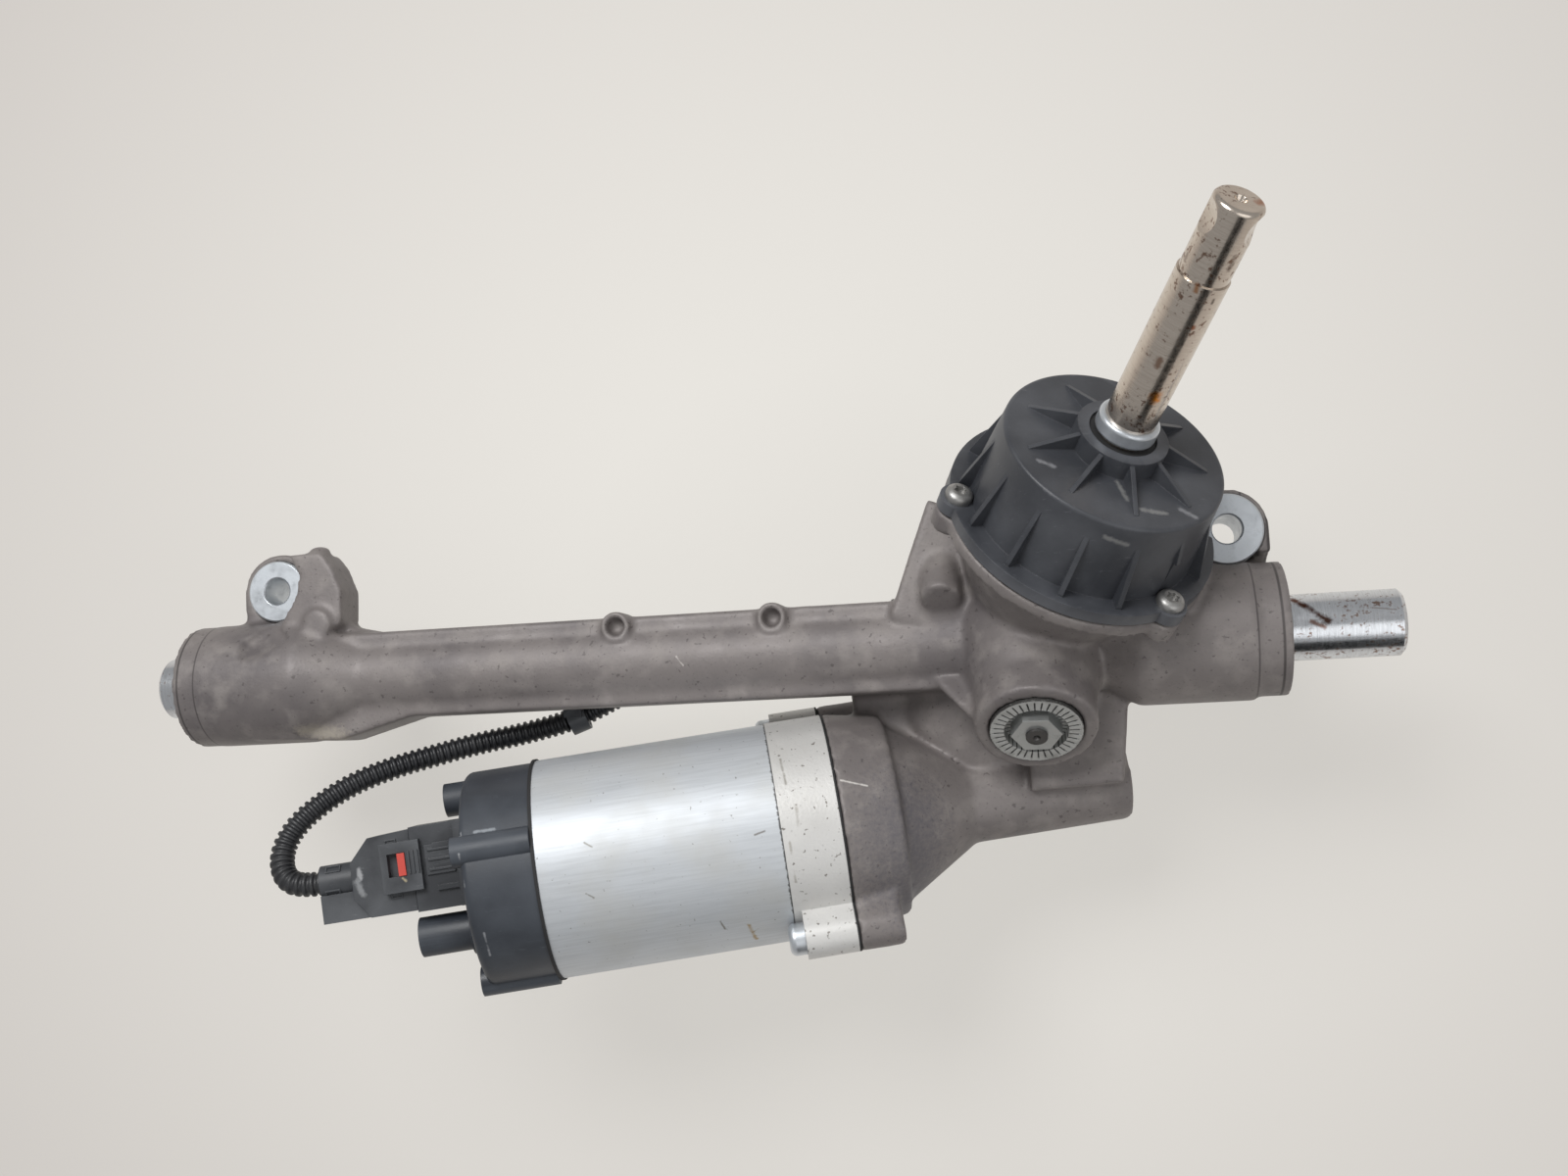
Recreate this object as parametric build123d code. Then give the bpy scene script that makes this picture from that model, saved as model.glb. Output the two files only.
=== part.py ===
from build123d import *
import os
from math import acos, asin, atan, cos, degrees, pi, radians, sin, sqrt, tan

# Electric power steering rack: a helical pinion, helped by a worm drive, moves the rack bar.
# Millimetres. X runs along the rack bar, Z along the mounting bolts. The origin is on the rack
# bar's axis, inside the pinion-side boot seat and 7 mm from the housing's end.

# ---- clearances -------------------------------------------------------------------------------
RUN_GAP = 0.05         # radial clearance of a running fit
FREE_GAP = 0.5         # between pieces that pass each other freely
BACKLASH = 0.22        # width left out of every gear tooth

# ---- rack bar and housing along X -------------------------------------------------------------
RACK_R = 13.1
RACK_RIGHT_END = 51.0
RACK_LEFT_END = -470.0
TIE_ROD_HOLE_R = 7.0
TIE_ROD_HOLE_DEPTH = 26.0
HOUSING_RIGHT_END = 7.0
HOUSING_LEFT_END = -455.0
RIGHT_SEAT_R = 26.4
RIGHT_SEAT_LEN = 13.0
RIGHT_BARREL_R = 27.8
RIGHT_BARREL_LEN = 44.0
BOOT_WALL = 4.0        # room round the seat for the boot and its clamp
LEFT_SEAT_R = 26.3
LEFT_SEAT_LEN = 10.0
LEFT_BARREL_R = 26.6
LEFT_BARREL_LEN = 44.0
POCKET_X = -415.0
POCKET_DEPTH = 3.4
TUBE_R = 17.3          # round crown of the middle tube
TUBE_RAIL_Y = 19.3     # cast rails along the tube's two edges
TUBE_RAIL_LOW = 17.8
TUBE_RAIL_Z = 11.8
TUBE_BORE_R = 14.2
TUBE_BOSS_X = (-261.0, -195.0)     # bracket bosses on the tube's upper rail
TUBE_BOSS_Y = 15.2
TUBE_BOSS_R = 6.3
TUBE_BOSS_HOLE_R = 3.9
TUBE_BOSS_TOP = 16.5
TUBE_BOSS_DEPTH = 6.5
STOP_BORE_R = 21.0     # counterbore that takes the tie rod's inner joint
STOP_DEPTH = 46.0
STOP_RING_LEN = 4.0
BUSH_LEN = 22.0
BUSH_WALL = 2.4

# ---- mounting ears ----------------------------------------------------------------------------
RIGHT_EAR_X = -12.1
LEFT_EAR_X = -417.6
EAR_Y = 40.3
LUG_FACE = (-125.3, 17.5, 22.0)    # cast lug on the tower's web
LUG_R = 8.2
LUG_LEN = 20.0
TOWER_RIB_X = -85.0
TOWER_RIB_THICK = 5.0
BUSH_FRONT = 4.0       # bolt faces of the mounting bushes
RIGHT_BUSH_R = 14.2
LEFT_BUSH_R = 13.4
BUSH_HOLE_R = 5.8
RIGHT_BUSH_LEN = 30.0
LEFT_BUSH_LEN = 28.0
RIGHT_EAR_WALL = 2.2
LEFT_EAR_WALL = 3.4
RIGHT_EAR_FOOT = 16.5  # half the width of the web below the ear
LEFT_EAR_FOOT = 16.0
WING_TOP = 13.0
WING_BACK = -6.0
PEG_R = 4.2
PEG_OUT = 22.0         # peg and boss of the far gusset, from its ear
PEG_TOP = 58.3
PEG_Z = 6.0
GUSSET_BOSS_R = 6.5
EAR_SET_BACK = 2.5     # how far the bushes stand out of their ears

# ---- pinion -----------------------------------------------------------------------------------
PINION_X = -91.0
PINION_AZIMUTH = 32.5  # pinion axis, from Y towards X
PINION_ELEVATION = 45.3
GEAR_MODULE = 2.0
PRESSURE_ANGLE = 20.0
PINION_TEETH = 8
PINION_SHIFT = 0.55
RACK_PITCH_HEIGHT = 5.0    # pitch plane of the rack's teeth above the rack axis
RACK_ADDENDUM = 1.8
RACK_DEDENDUM = 2.4
RACK_FIRST_GAP = -11   # gaps counted from the one that faces the pinion
RACK_GAPS = 27
RACK_CHAMFER = 1.5
PINION_FACE = 30.0
PINION_ADDENDUM = 1.6
PINION_ROOT_GAP = 0.35
PINION_SHAFT_R = 8.5
PINION_TAIL_R = 7.4
PINION_TOP = 58.0
UPPER_BEARING_START = 22.0
BEARING_LEN = 11.0
BEARING_R = 17.5
LOWER_BEARING_R = 14.0

# ---- worm drive -------------------------------------------------------------------------------
WHEEL_DROP = 58.3      # worm wheel's mid-plane below the rack crossing
WHEEL_TEETH = 41
WHEEL_FACE = 18.0
WHEEL_HUB_R = 30.0
WHEEL_ROOM_WALL = 3.8
WORM_STARTS = 2
WORM_LEN = 44.0
WORM_SHAFT_R = 4.0
MOTOR_AZIMUTH = -6.48   # motor axis, from X towards Y, seen from below
MOTOR_DROP = 11.27     # motor axis, below the X axis towards the worm
WORM_BEARING_R = 11.0
WORM_BEARING_LEN = 8.0
COUPLING_LEN = 10.0
TUNNEL_R = 17.5
TUNNEL_END = 47.0
LOWER_COVER_LEN = 5.0
LOWER_SCREW_ANGLES = (75.0, 165.0, 255.0)
MOTOR_REGISTER_R = 24.0

# ---- input shaft and sensor tower -------------------------------------------------------------
INPUT_R = 9.6
INPUT_TOP = 201.0
INPUT_NECK_R = 9.0
INPUT_NECK_START = 172.0
COLLAR_R = 11.6
COLLAR_LEN = 7.0
COLLAR_ROUND = 1.6
INPUT_ROUND = 1.8      # rounded rim of the shaft's end
NOTCH_AT = 193.4       # two hollow notches for the clamp's bolt
NOTCH_HALF = 6.0
NOTCH_DEPTH = 1.5
NOTCH_ANGLES = (-79.0, 61.0)
SPIGOT_R = 5.5         # foot of the input shaft, in the pinion's upper end
SPIGOT_LEN = 12.0
TORSION_BAR_R = 2.8
TORSION_BAR_FOOT = -10.0
TORSION_BAR_HEAD = 118.0
TOWER_TOP = 53.7
TOWER_FLANGE_LEN = 6.0
TOWER_NECK_R = 31.0
GASKET_LEN = 1.0
COVER_TOP = 93.2
COVER_R = 42.7
COVER_FOOT_R = 45.5
FLANGE_WIDTH = 7.5     # ledge of the tower and the cover round the cover's foot
SCREW_INSET = 2.7      # cover screws inwards from the ledge's rim
COVER_FLANGE_LEN = 5.0
COVER_WALL = 2.6
COVER_ROOF = 3.5
COVER_TOP_RIBS = 9
COVER_SIDE_RIBS = 14
TOP_RIB_THICK = 1.8
SIDE_RIB_THICK = 2.0
SEAL_R = 13.0
PORT_ANGLE = -175.0    # loom outlet, on the rear of the cover
PORT_REACH = 53.5
PORT_R = 7.6
PORT_FOOT = 60.2
PORT_LEN = 15.0
GROMMET_LEN = 8.0
GROMMET_WALL = 1.4
SEAL_HOUSING_R = 17.5
SEAL_HOUSING_LEN = 8.0
COVER_SCREW_ANGLES = (-82.0, 38.0, 158.0)
BOLT_HEAD_ROOM = 12.0  # height kept free over the pinion-side bolt face
BOLT_ROOM_DEPTH = 20.0 # and how far that room cuts into the cover's rim
LOOM_NOTCH = 12.0      # depth of the loom's notch in the tower's rim
SCREW_HEAD_R = 5.4
SCREW_HEAD_LEN = 3.6
SCREW_R = 2.5

# ---- yoke (rack thrust piece) -----------------------------------------------------------------
YOKE_R = 15.5
YOKE_BACK = 32.0
PLUG_R = 17.95
PLUG_FACE = 46.8
PLUG_LEN = 11.0
YOKE_BOSS_R = 23.8
PLUG_MARKS = 36
PLUG_RECESS_R = 12.4
PLUG_RECESS = 4.0
YOKE_SPRING_R = 7.0
NUT_FLATS = 17.0
NUT_LEN = 6.0
STUD_R = 4.2

# ---- motor and control unit, measured along the motor axis from the worm ----------------------
JOINT_AT = -74.0       # mounting face of the motor
MOTOR_FLANGE_LEN = 24.0
CAN_LEN = 95.5
CAN_R = 45.0
CAN_WALL = 3.0
ECU_LEN = 29.0
ECU_R = 44.0
MOTOR_GASKET_LEN = 0.8
MOTOR_BOLT_CIRCLE_R = 51.4
MOTOR_BOLT_ANGLES = (142.0, -38.0)
MOTOR_BOLT_R = 4.0
MOTOR_HEAD_R = 6.3
MOTOR_HEAD_LEN = 6.5
MOTOR_HEAD_ROUND = 2.6
MOTOR_EAR_R = 8.4
ROTOR_SHAFT_R = 5.0
ROTOR_R = 22.0
ROTOR_LEN = 56.0
STATOR_SLOTS = 12
MOTOR_BEARING_LEN = 9.0
ECU_SEAL_LEN = 1.2
ECU_LUG_ANGLES = (165.0, 70.0, -60.0)
STUB_UP = 34.0
STUB_OUT = -10.0
STUB_R = 7.0
HEADER_UP = 9.0        # signal header's middle above the motor axis
HEADER_HEIGHT = 34.0
HEADER_DEPTH = 20.0
HEADER_LEN = 24.0
HEADER_OUT = 5.0
HEADER_WALL = 2.6
PLUG_BODY_LEN = 25.0
COLLAR_TAIL = 14.0     # loom collar behind the plug's body
LATCH_HIGH = 4.0
LOCK_UP = 3.0
LOCK_HALF = 4.5
LOCK_LEN = 3.0
POWER_UP = -19.0
POWER_OUT = 5.0
POWER_R = 8.0
POWER_LEN = 26.0
BLADE_SET_BACK = 10.0
LOCK_TRAVEL = 4.0

# ---- sensor loom ------------------------------------------------------------------------------
LOOM_R = 5.0
LOOM_BEND = 0.45       # share of the shorter run that each arc may use
CLIP_GAP = 0.25
CLIP_POINT = 9         # the route's point that the clip holds
LOOM_ROUTE = (
    (-399.6, -80.6, 36.0), (-402.4, -71.0, 31.0), (-398.2, -61.3, 27.0),
    (-389.7, -52.6, 21.0), (-377.9, -44.7, 14.0), (-363.7, -38.9, 6.0), (-348.3, -34.7, -2.0),
    (-332.2, -30.5, -9.0), (-311.0, -26.8, -15.5), (-289.0, -21.5, -19.8), (-262.0, -8.0, -24.0),
    (-217.0, 1.0, -26.5), (-173.5, 8.0, -29.5), (-134.5, 24.5, -33.0), (-111.0, 44.0, -30.5),
    (-91.5, 62.5, -23.0),
)

BASE = (Align.CENTER, Align.CENTER, Align.MIN)


# ---- axes -------------------------------------------------------------------------------------
def direction(azimuth, elevation):
    """Unit vector; azimuth goes from Y towards X."""
    a = radians(azimuth)
    e = radians(elevation)
    return Vector(sin(a) * cos(e), cos(a) * cos(e), sin(e))


X_AXIS = Vector(1, 0, 0)
PINION_DIR = direction(PINION_AZIMUTH, PINION_ELEVATION)
YOKE_DIR = X_AXIS.cross(PINION_DIR).normalized()      # from the pinion to the rack, and outwards
MOTOR_DIR = direction(90.0 + MOTOR_AZIMUTH, -MOTOR_DROP)

PINION_SKEW = degrees(asin(PINION_DIR.dot(X_AXIS)))    # tooth helix that suits square rack teeth
PINION_PITCH_R = PINION_TEETH * GEAR_MODULE / 2 / cos(radians(PINION_SKEW))
PINION_OFFSET = PINION_PITCH_R + PINION_SHIFT * GEAR_MODULE + RACK_PITCH_HEIGHT
RACK_POINT = Vector(PINION_X, 0, 0)
PINION_POINT = RACK_POINT - YOKE_DIR * PINION_OFFSET

WORM_LEAD = degrees(asin(PINION_DIR.dot(MOTOR_DIR)))   # lead angle that suits a straight wheel
WORM_PITCH_R = WORM_STARTS * GEAR_MODULE / 2 / sin(radians(WORM_LEAD))
WHEEL_PITCH_R = WHEEL_TEETH * GEAR_MODULE / 2
WORM_SIDE = MOTOR_DIR.cross(PINION_DIR).normalized()   # from the wheel to the worm
WHEEL_POINT = PINION_POINT - PINION_DIR * WHEEL_DROP
WORM_POINT = WHEEL_POINT + WORM_SIDE * (WHEEL_PITCH_R + WORM_PITCH_R)

RACK_PLANE = Plane(origin=(0, 0, 0), x_dir=(0, 1, 0), z_dir=X_AXIS)
PINION_PLANE = Plane(origin=PINION_POINT, x_dir=YOKE_DIR, z_dir=PINION_DIR)
WHEEL_PLANE = Plane(origin=WHEEL_POINT, x_dir=WORM_SIDE, z_dir=PINION_DIR)
WORM_PLANE = Plane(origin=WORM_POINT, x_dir=WORM_SIDE * -1, z_dir=MOTOR_DIR)
YOKE_PLANE = Plane(origin=RACK_POINT, x_dir=X_AXIS, z_dir=YOKE_DIR)
MOTOR_UP = (Vector(0, 1, 0) - MOTOR_DIR * MOTOR_DIR.Y).normalized()
MOTOR_PLANE = Plane(origin=WORM_POINT, x_dir=MOTOR_UP, z_dir=MOTOR_DIR)

# ---- sizes that follow ------------------------------------------------------------------------
TOWER_FLANGE_R = COVER_FOOT_R + FLANGE_WIDTH
COVER_SCREW_CIRCLE_R = TOWER_FLANGE_R - SCREW_INSET
WHEEL_ROOM_R = WHEEL_PITCH_R + GEAR_MODULE + FREE_GAP
WHEEL_DRUM_R = WHEEL_ROOM_R + WHEEL_ROOM_WALL
LOWER_SCREW_CIRCLE_R = WHEEL_DRUM_R + SCREW_R + 0.5
WHEEL_ROOM_TOP = -WHEEL_DROP + WHEEL_FACE / 2 + FREE_GAP
WHEEL_ROOM_BOTTOM = -WHEEL_DROP - TUNNEL_R - FREE_GAP      # clear of the worm's tunnel
GASKET_TOP = TOWER_TOP + GASKET_LEN
COVER_WALL_FOOT = GASKET_TOP + COVER_FLANGE_LEN
PLUG_INNER = PLUG_FACE - PLUG_LEN
CAN_END = JOINT_AT - MOTOR_FLANGE_LEN
CAN_START = CAN_END - CAN_LEN
ECU_START = CAN_START - ECU_LEN


# ---- building blocks --------------------------------------------------------------------------
def placed(plane, x=0, y=0, z=0, turn=0):
    """The plane moved in its own axes, then turned about its normal."""
    return Plane(plane.location * Pos(x, y, z) * Rot(0, 0, turn))


def rod(plane, radius, start, end):
    return plane * Pos(0, 0, start) * Cylinder(radius, end - start, align=BASE)


def ring(plane, outer, inner, start, end):
    return rod(plane, outer, start, end) - rod(plane, inner, start - 1, end + 1)


def taper(plane, start_r, end_r, start, end):
    return plane * Pos(0, 0, start) * Cone(start_r, end_r, end - start, align=BASE)


def block(plane, x_range, y_range, z_range):
    size = [high - low for low, high in (x_range, y_range, z_range)]
    middle = [(high + low) / 2 for low, high in (x_range, y_range, z_range)]
    return plane * Pos(*middle) * Box(*size)


def slab(points, z_range):
    """Flat plate with the given corners, cut square to Z."""
    face = make_face(Polyline(*points, close=True))
    return Pos(0, 0, z_range[0]) * extrude(face, z_range[1] - z_range[0])


def around(plane, radius, angles, make):
    """The pieces that make(plane) builds at each angle round the plane's axis."""
    return [make(placed(placed(plane, turn=a), radius)) for a in angles]


def even_angles(count, first=0.0):
    return [first + 360.0 * i / count for i in range(count)]


def rims(part, plane):
    """Round edges of a part, from its lowest to its highest along the plane's axis."""
    return part.edges().filter_by(GeomType.CIRCLE).sort_by(Axis(plane.origin, plane.z_dir))


def end_rim(part, plane, index):
    return rims(part, plane)[index]


def involute_gear(teeth, helix, shift, tip_r, root_r, flank_points):
    """Transverse section of a gear with one tooth centred on the X axis."""
    helix_cos = cos(radians(helix))
    pitch_r = teeth * GEAR_MODULE / 2 / helix_cos
    transverse = atan(tan(radians(PRESSURE_ANGLE)) / helix_cos)
    base_r = pitch_r * cos(transverse)
    half_tooth = (pi / 2 + 2 * shift * tan(radians(PRESSURE_ANGLE))) / teeth
    half_tooth -= BACKLASH / 2 / helix_cos / pitch_r
    start = half_tooth + tan(transverse) - transverse
    low_r = max(base_r, root_r) * 1.0001

    def flank(radius):
        roll = acos(base_r / radius)
        angle = start - (tan(roll) - roll)
        return radius, angle

    def point(radius, angle):
        return (radius * cos(angle), radius * sin(angle))

    radii = [low_r + (tip_r - low_r) * i / flank_points for i in range(flank_points + 1)]
    right = [point(r, -a) for r, a in map(flank, radii)]
    left = [point(r, a) for r, a in map(flank, radii)]
    low_angle = flank(low_r)[1]
    foot_right = point(root_r * 0.9, -low_angle)
    foot_left = point(root_r * 0.9, low_angle)
    side = Polyline if flank_points < 3 else Spline
    tooth = make_face(Line(foot_right, right[0]) + side(*right) + Line(right[-1], left[-1])
                      + side(*reversed(left)) + Line(left[0], foot_left) + Line(foot_left, foot_right))
    section = Circle(root_r)
    for angle in even_angles(teeth):
        section = section + Rot(0, 0, angle) * tooth
    return section.face()


def twisted(plane, section, start, end, degrees_per_mm):
    """Section swept along the plane's axis, unturned at the plane itself."""
    turned = Pos(0, 0, start) * Rot(0, 0, degrees_per_mm * start) * section
    solid = Solid.extrude_linear_with_rotation(
        turned, (0, 0, start), (0, 0, end - start), degrees_per_mm * (end - start))
    return Part() + solid.moved(plane.location)


# ---- housing ----------------------------------------------------------------------------------
def housing_along_rack():
    right_barrel = HOUSING_RIGHT_END - RIGHT_SEAT_LEN - RIGHT_BARREL_LEN
    left_barrel = HOUSING_LEFT_END + LEFT_SEAT_LEN + LEFT_BARREL_LEN
    body = rod(RACK_PLANE, TUBE_R, left_barrel - 10, right_barrel)
    body += block(Plane.XY, (left_barrel - 10, PINION_X), (-TUBE_RAIL_LOW, TUBE_RAIL_Y),
                  (-TUBE_RAIL_Z, TUBE_RAIL_Z))
    body += rod(RACK_PLANE, RIGHT_BARREL_R, right_barrel, HOUSING_RIGHT_END - RIGHT_SEAT_LEN)
    body += taper(RACK_PLANE, TUBE_R + 3, RIGHT_BARREL_R, right_barrel - 14, right_barrel)
    body += rod(RACK_PLANE, RIGHT_SEAT_R, HOUSING_RIGHT_END - RIGHT_SEAT_LEN, HOUSING_RIGHT_END)
    body += rod(RACK_PLANE, LEFT_BARREL_R, HOUSING_LEFT_END + LEFT_SEAT_LEN, left_barrel)
    body += taper(RACK_PLANE, LEFT_BARREL_R, TUBE_R, left_barrel, left_barrel + 26)
    body += rod(RACK_PLANE, LEFT_SEAT_R, HOUSING_LEFT_END, HOUSING_LEFT_END + LEFT_SEAT_LEN)
    return body


def mounting_ear(x, bush_r, bush_len, wall, foot_half):
    front = BUSH_FRONT - EAR_SET_BACK
    back = BUSH_FRONT - bush_len + EAR_SET_BACK
    ear_r = bush_r + wall
    ear = Pos(x, EAR_Y, back) * Cylinder(ear_r, front - back, align=BASE)
    web = slab([(x - ear_r, EAR_Y), (x - foot_half, 8), (x + foot_half, 8), (x + ear_r, EAR_Y)],
               (back, front))
    return ear + web


def left_ribs():
    """Gusset from the far ear down to the tube, its wing, two cast bosses and the flare below."""
    x, y = LEFT_EAR_X, EAR_Y
    web = slab([(x + 5, y + 9), (x + 26, y + 1), (x + 34, 23), (x + 70, 15), (x, 10)],
               (WING_BACK, -WING_BACK))
    wing = slab([(x + 10, y + 14.5), (x + 15, y + 5), (x + 13, y - 5), (x + 5, y - 17), (x + 34, y - 18),
                 (x + 34.5, y - 2), (x + 30, y + 9), (x + 25, y + 15)], (WING_BACK, WING_TOP))
    peg = Pos(x + PEG_OUT, y - 5, PEG_Z) * Rot(-90, 0, 0) * Cylinder(PEG_R, PEG_TOP - (y - 5), align=BASE)
    boss = Pos(x + PEG_OUT + 2, 24, -8) * Cylinder(GUSSET_BOSS_R, 24, align=BASE)
    start = HOUSING_LEFT_END + 30
    flare = slab([(start, -LEFT_BARREL_R + 2), (x + 32, -LEFT_BARREL_R), (x + 64, -TUBE_RAIL_LOW),
                  (x + 64, 0), (start, 0)], (-TUBE_RAIL_Z, TUBE_RAIL_Z))
    return [web, wing, peg, boss, flare]


def tube_bosses():
    """Two hollow bosses on the tube's upper rail, which carry a bracket or clip."""
    made = []
    for x in TUBE_BOSS_X:
        made.append(Pos(x, TUBE_BOSS_Y, 0) * Cylinder(TUBE_BOSS_R, TUBE_BOSS_TOP, align=BASE))
    return made


def pinion_tower():
    flange_foot = TOWER_TOP - TOWER_FLANGE_LEN
    body = rod(PINION_PLANE, TOWER_NECK_R, WHEEL_ROOM_TOP, 30)
    body += taper(PINION_PLANE, TOWER_NECK_R, TOWER_FLANGE_R - 5, 14, flange_foot)
    body += rod(PINION_PLANE, TOWER_FLANGE_R, flange_foot, TOWER_TOP)
    return body + around(PINION_PLANE, COVER_SCREW_CIRCLE_R, COVER_SCREW_ANGLES,
                         lambda p: rod(p, SCREW_HEAD_R + 1.6, flange_foot - 3, TOWER_TOP))


def worm_housing():
    body = rod(PINION_PLANE, WHEEL_DRUM_R, WHEEL_ROOM_BOTTOM, WHEEL_ROOM_TOP + WHEEL_ROOM_WALL)
    body += taper(PINION_PLANE, WHEEL_DRUM_R, TOWER_NECK_R, WHEEL_ROOM_TOP + WHEEL_ROOM_WALL, -12)
    body += rod(MOTOR_PLANE, TUNNEL_R, JOINT_AT, TUNNEL_END)
    body += taper(MOTOR_PLANE, CAN_R - 7, TUNNEL_R + 1, JOINT_AT + 22, JOINT_AT + 54)
    body += taper(MOTOR_PLANE, CAN_R, CAN_R - 4, JOINT_AT, JOINT_AT + 24)
    ears = around(MOTOR_PLANE, MOTOR_BOLT_CIRCLE_R, MOTOR_BOLT_ANGLES,
                  lambda p: rod(p, MOTOR_EAR_R, JOINT_AT, JOINT_AT + 18))
    webs = around(MOTOR_PLANE, MOTOR_BOLT_CIRCLE_R - 8, MOTOR_BOLT_ANGLES,
                  lambda p: block(p, (-8, 8), (-MOTOR_EAR_R, MOTOR_EAR_R), (JOINT_AT, JOINT_AT + 18)))
    return body + ears + webs


def housing_webs():
    """Cast webs that tie the tower, the tunnel and the two barrels together."""
    tower_web = slab([(-147, 12), (-138, 36), (-129, 59), (-112, 52), (-105, 20), (-120, 5)], (-8, 16))
    lug = rod(Plane(origin=LUG_FACE, z_dir=YOKE_DIR), LUG_R, -LUG_LEN, 0)
    bridge = slab([(-95, -18), (-95, -60), (-58, -58), (-54, -22), (-50, -10)], (-34, -2))
    motor_web = slab([(-168, -15), (-166, -40), (-120, -62), (-100, -30), (-100, -12)], (-34, -14))
    rib_foot = YOKE_BOSS_R - 4
    tower_rib = wedge_rib(Plane(origin=(TOWER_RIB_X, 0, 0), x_dir=(0, 1, 0), z_dir=(0, 0, 1)),
                          [(-14, 0), (-14, 22), (5, 33), (14, 30), (14, 0)], TOWER_RIB_THICK)
    boss_fin = wedge_rib(YOKE_PLANE, [(-rib_foot, 4), (-rib_foot, 39), (-YOKE_BOSS_R - 2, 38),
                                      (-YOKE_BOSS_R - 15, 20), (-YOKE_BOSS_R - 15, 4)], 4)
    return [tower_web, lug, bridge, motor_web, tower_rib, boss_fin]


def yoke_boss():
    boss = rod(YOKE_PLANE, YOKE_BOSS_R, 0, PLUG_FACE - 1)
    return boss + taper(YOKE_PLANE, YOKE_BOSS_R + 9, YOKE_BOSS_R, 0, PLUG_FACE - 16)


def bush_plane(x):
    return Plane(origin=(x, EAR_Y, 0))


def lower_cover_room():
    """Room below the worm wheel's drum that the lower cover needs."""
    start = WHEEL_ROOM_BOTTOM - LOWER_COVER_LEN - 6
    room = rod(PINION_PLANE, WHEEL_DRUM_R + FREE_GAP, start, WHEEL_ROOM_BOTTOM)
    return room + around(PINION_PLANE, LOWER_SCREW_CIRCLE_R, LOWER_SCREW_ANGLES,
                         lambda p: rod(p, SCREW_R + 3.5, start, WHEEL_ROOM_BOTTOM))


def cover_room():
    """Room over the tower's top for the cover's flange and its screw ears."""
    room = rod(PINION_PLANE, TOWER_FLANGE_R + FREE_GAP, TOWER_TOP, COVER_WALL_FOOT + 2)
    return room + around(PINION_PLANE, COVER_SCREW_CIRCLE_R, COVER_SCREW_ANGLES,
                         lambda p: rod(p, SCREW_HEAD_R + 2.1, TOWER_TOP, COVER_WALL_FOOT + 2))


def barrel_pocket():
    """Slanted core pocket in the far barrel's skin, over the stop bore."""
    face = make_face(Polyline((-11, -2), (-1, 12), (11, 0), (-2, -10), (-10, -10.5), close=True))
    skew = Plane(origin=(POCKET_X, 0, 0), x_dir=X_AXIS, z_dir=(0, 1, 1))
    return skew * Pos(0, 0, LEFT_BARREL_R - POCKET_DEPTH) * extrude(face, LEFT_BARREL_R)


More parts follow.
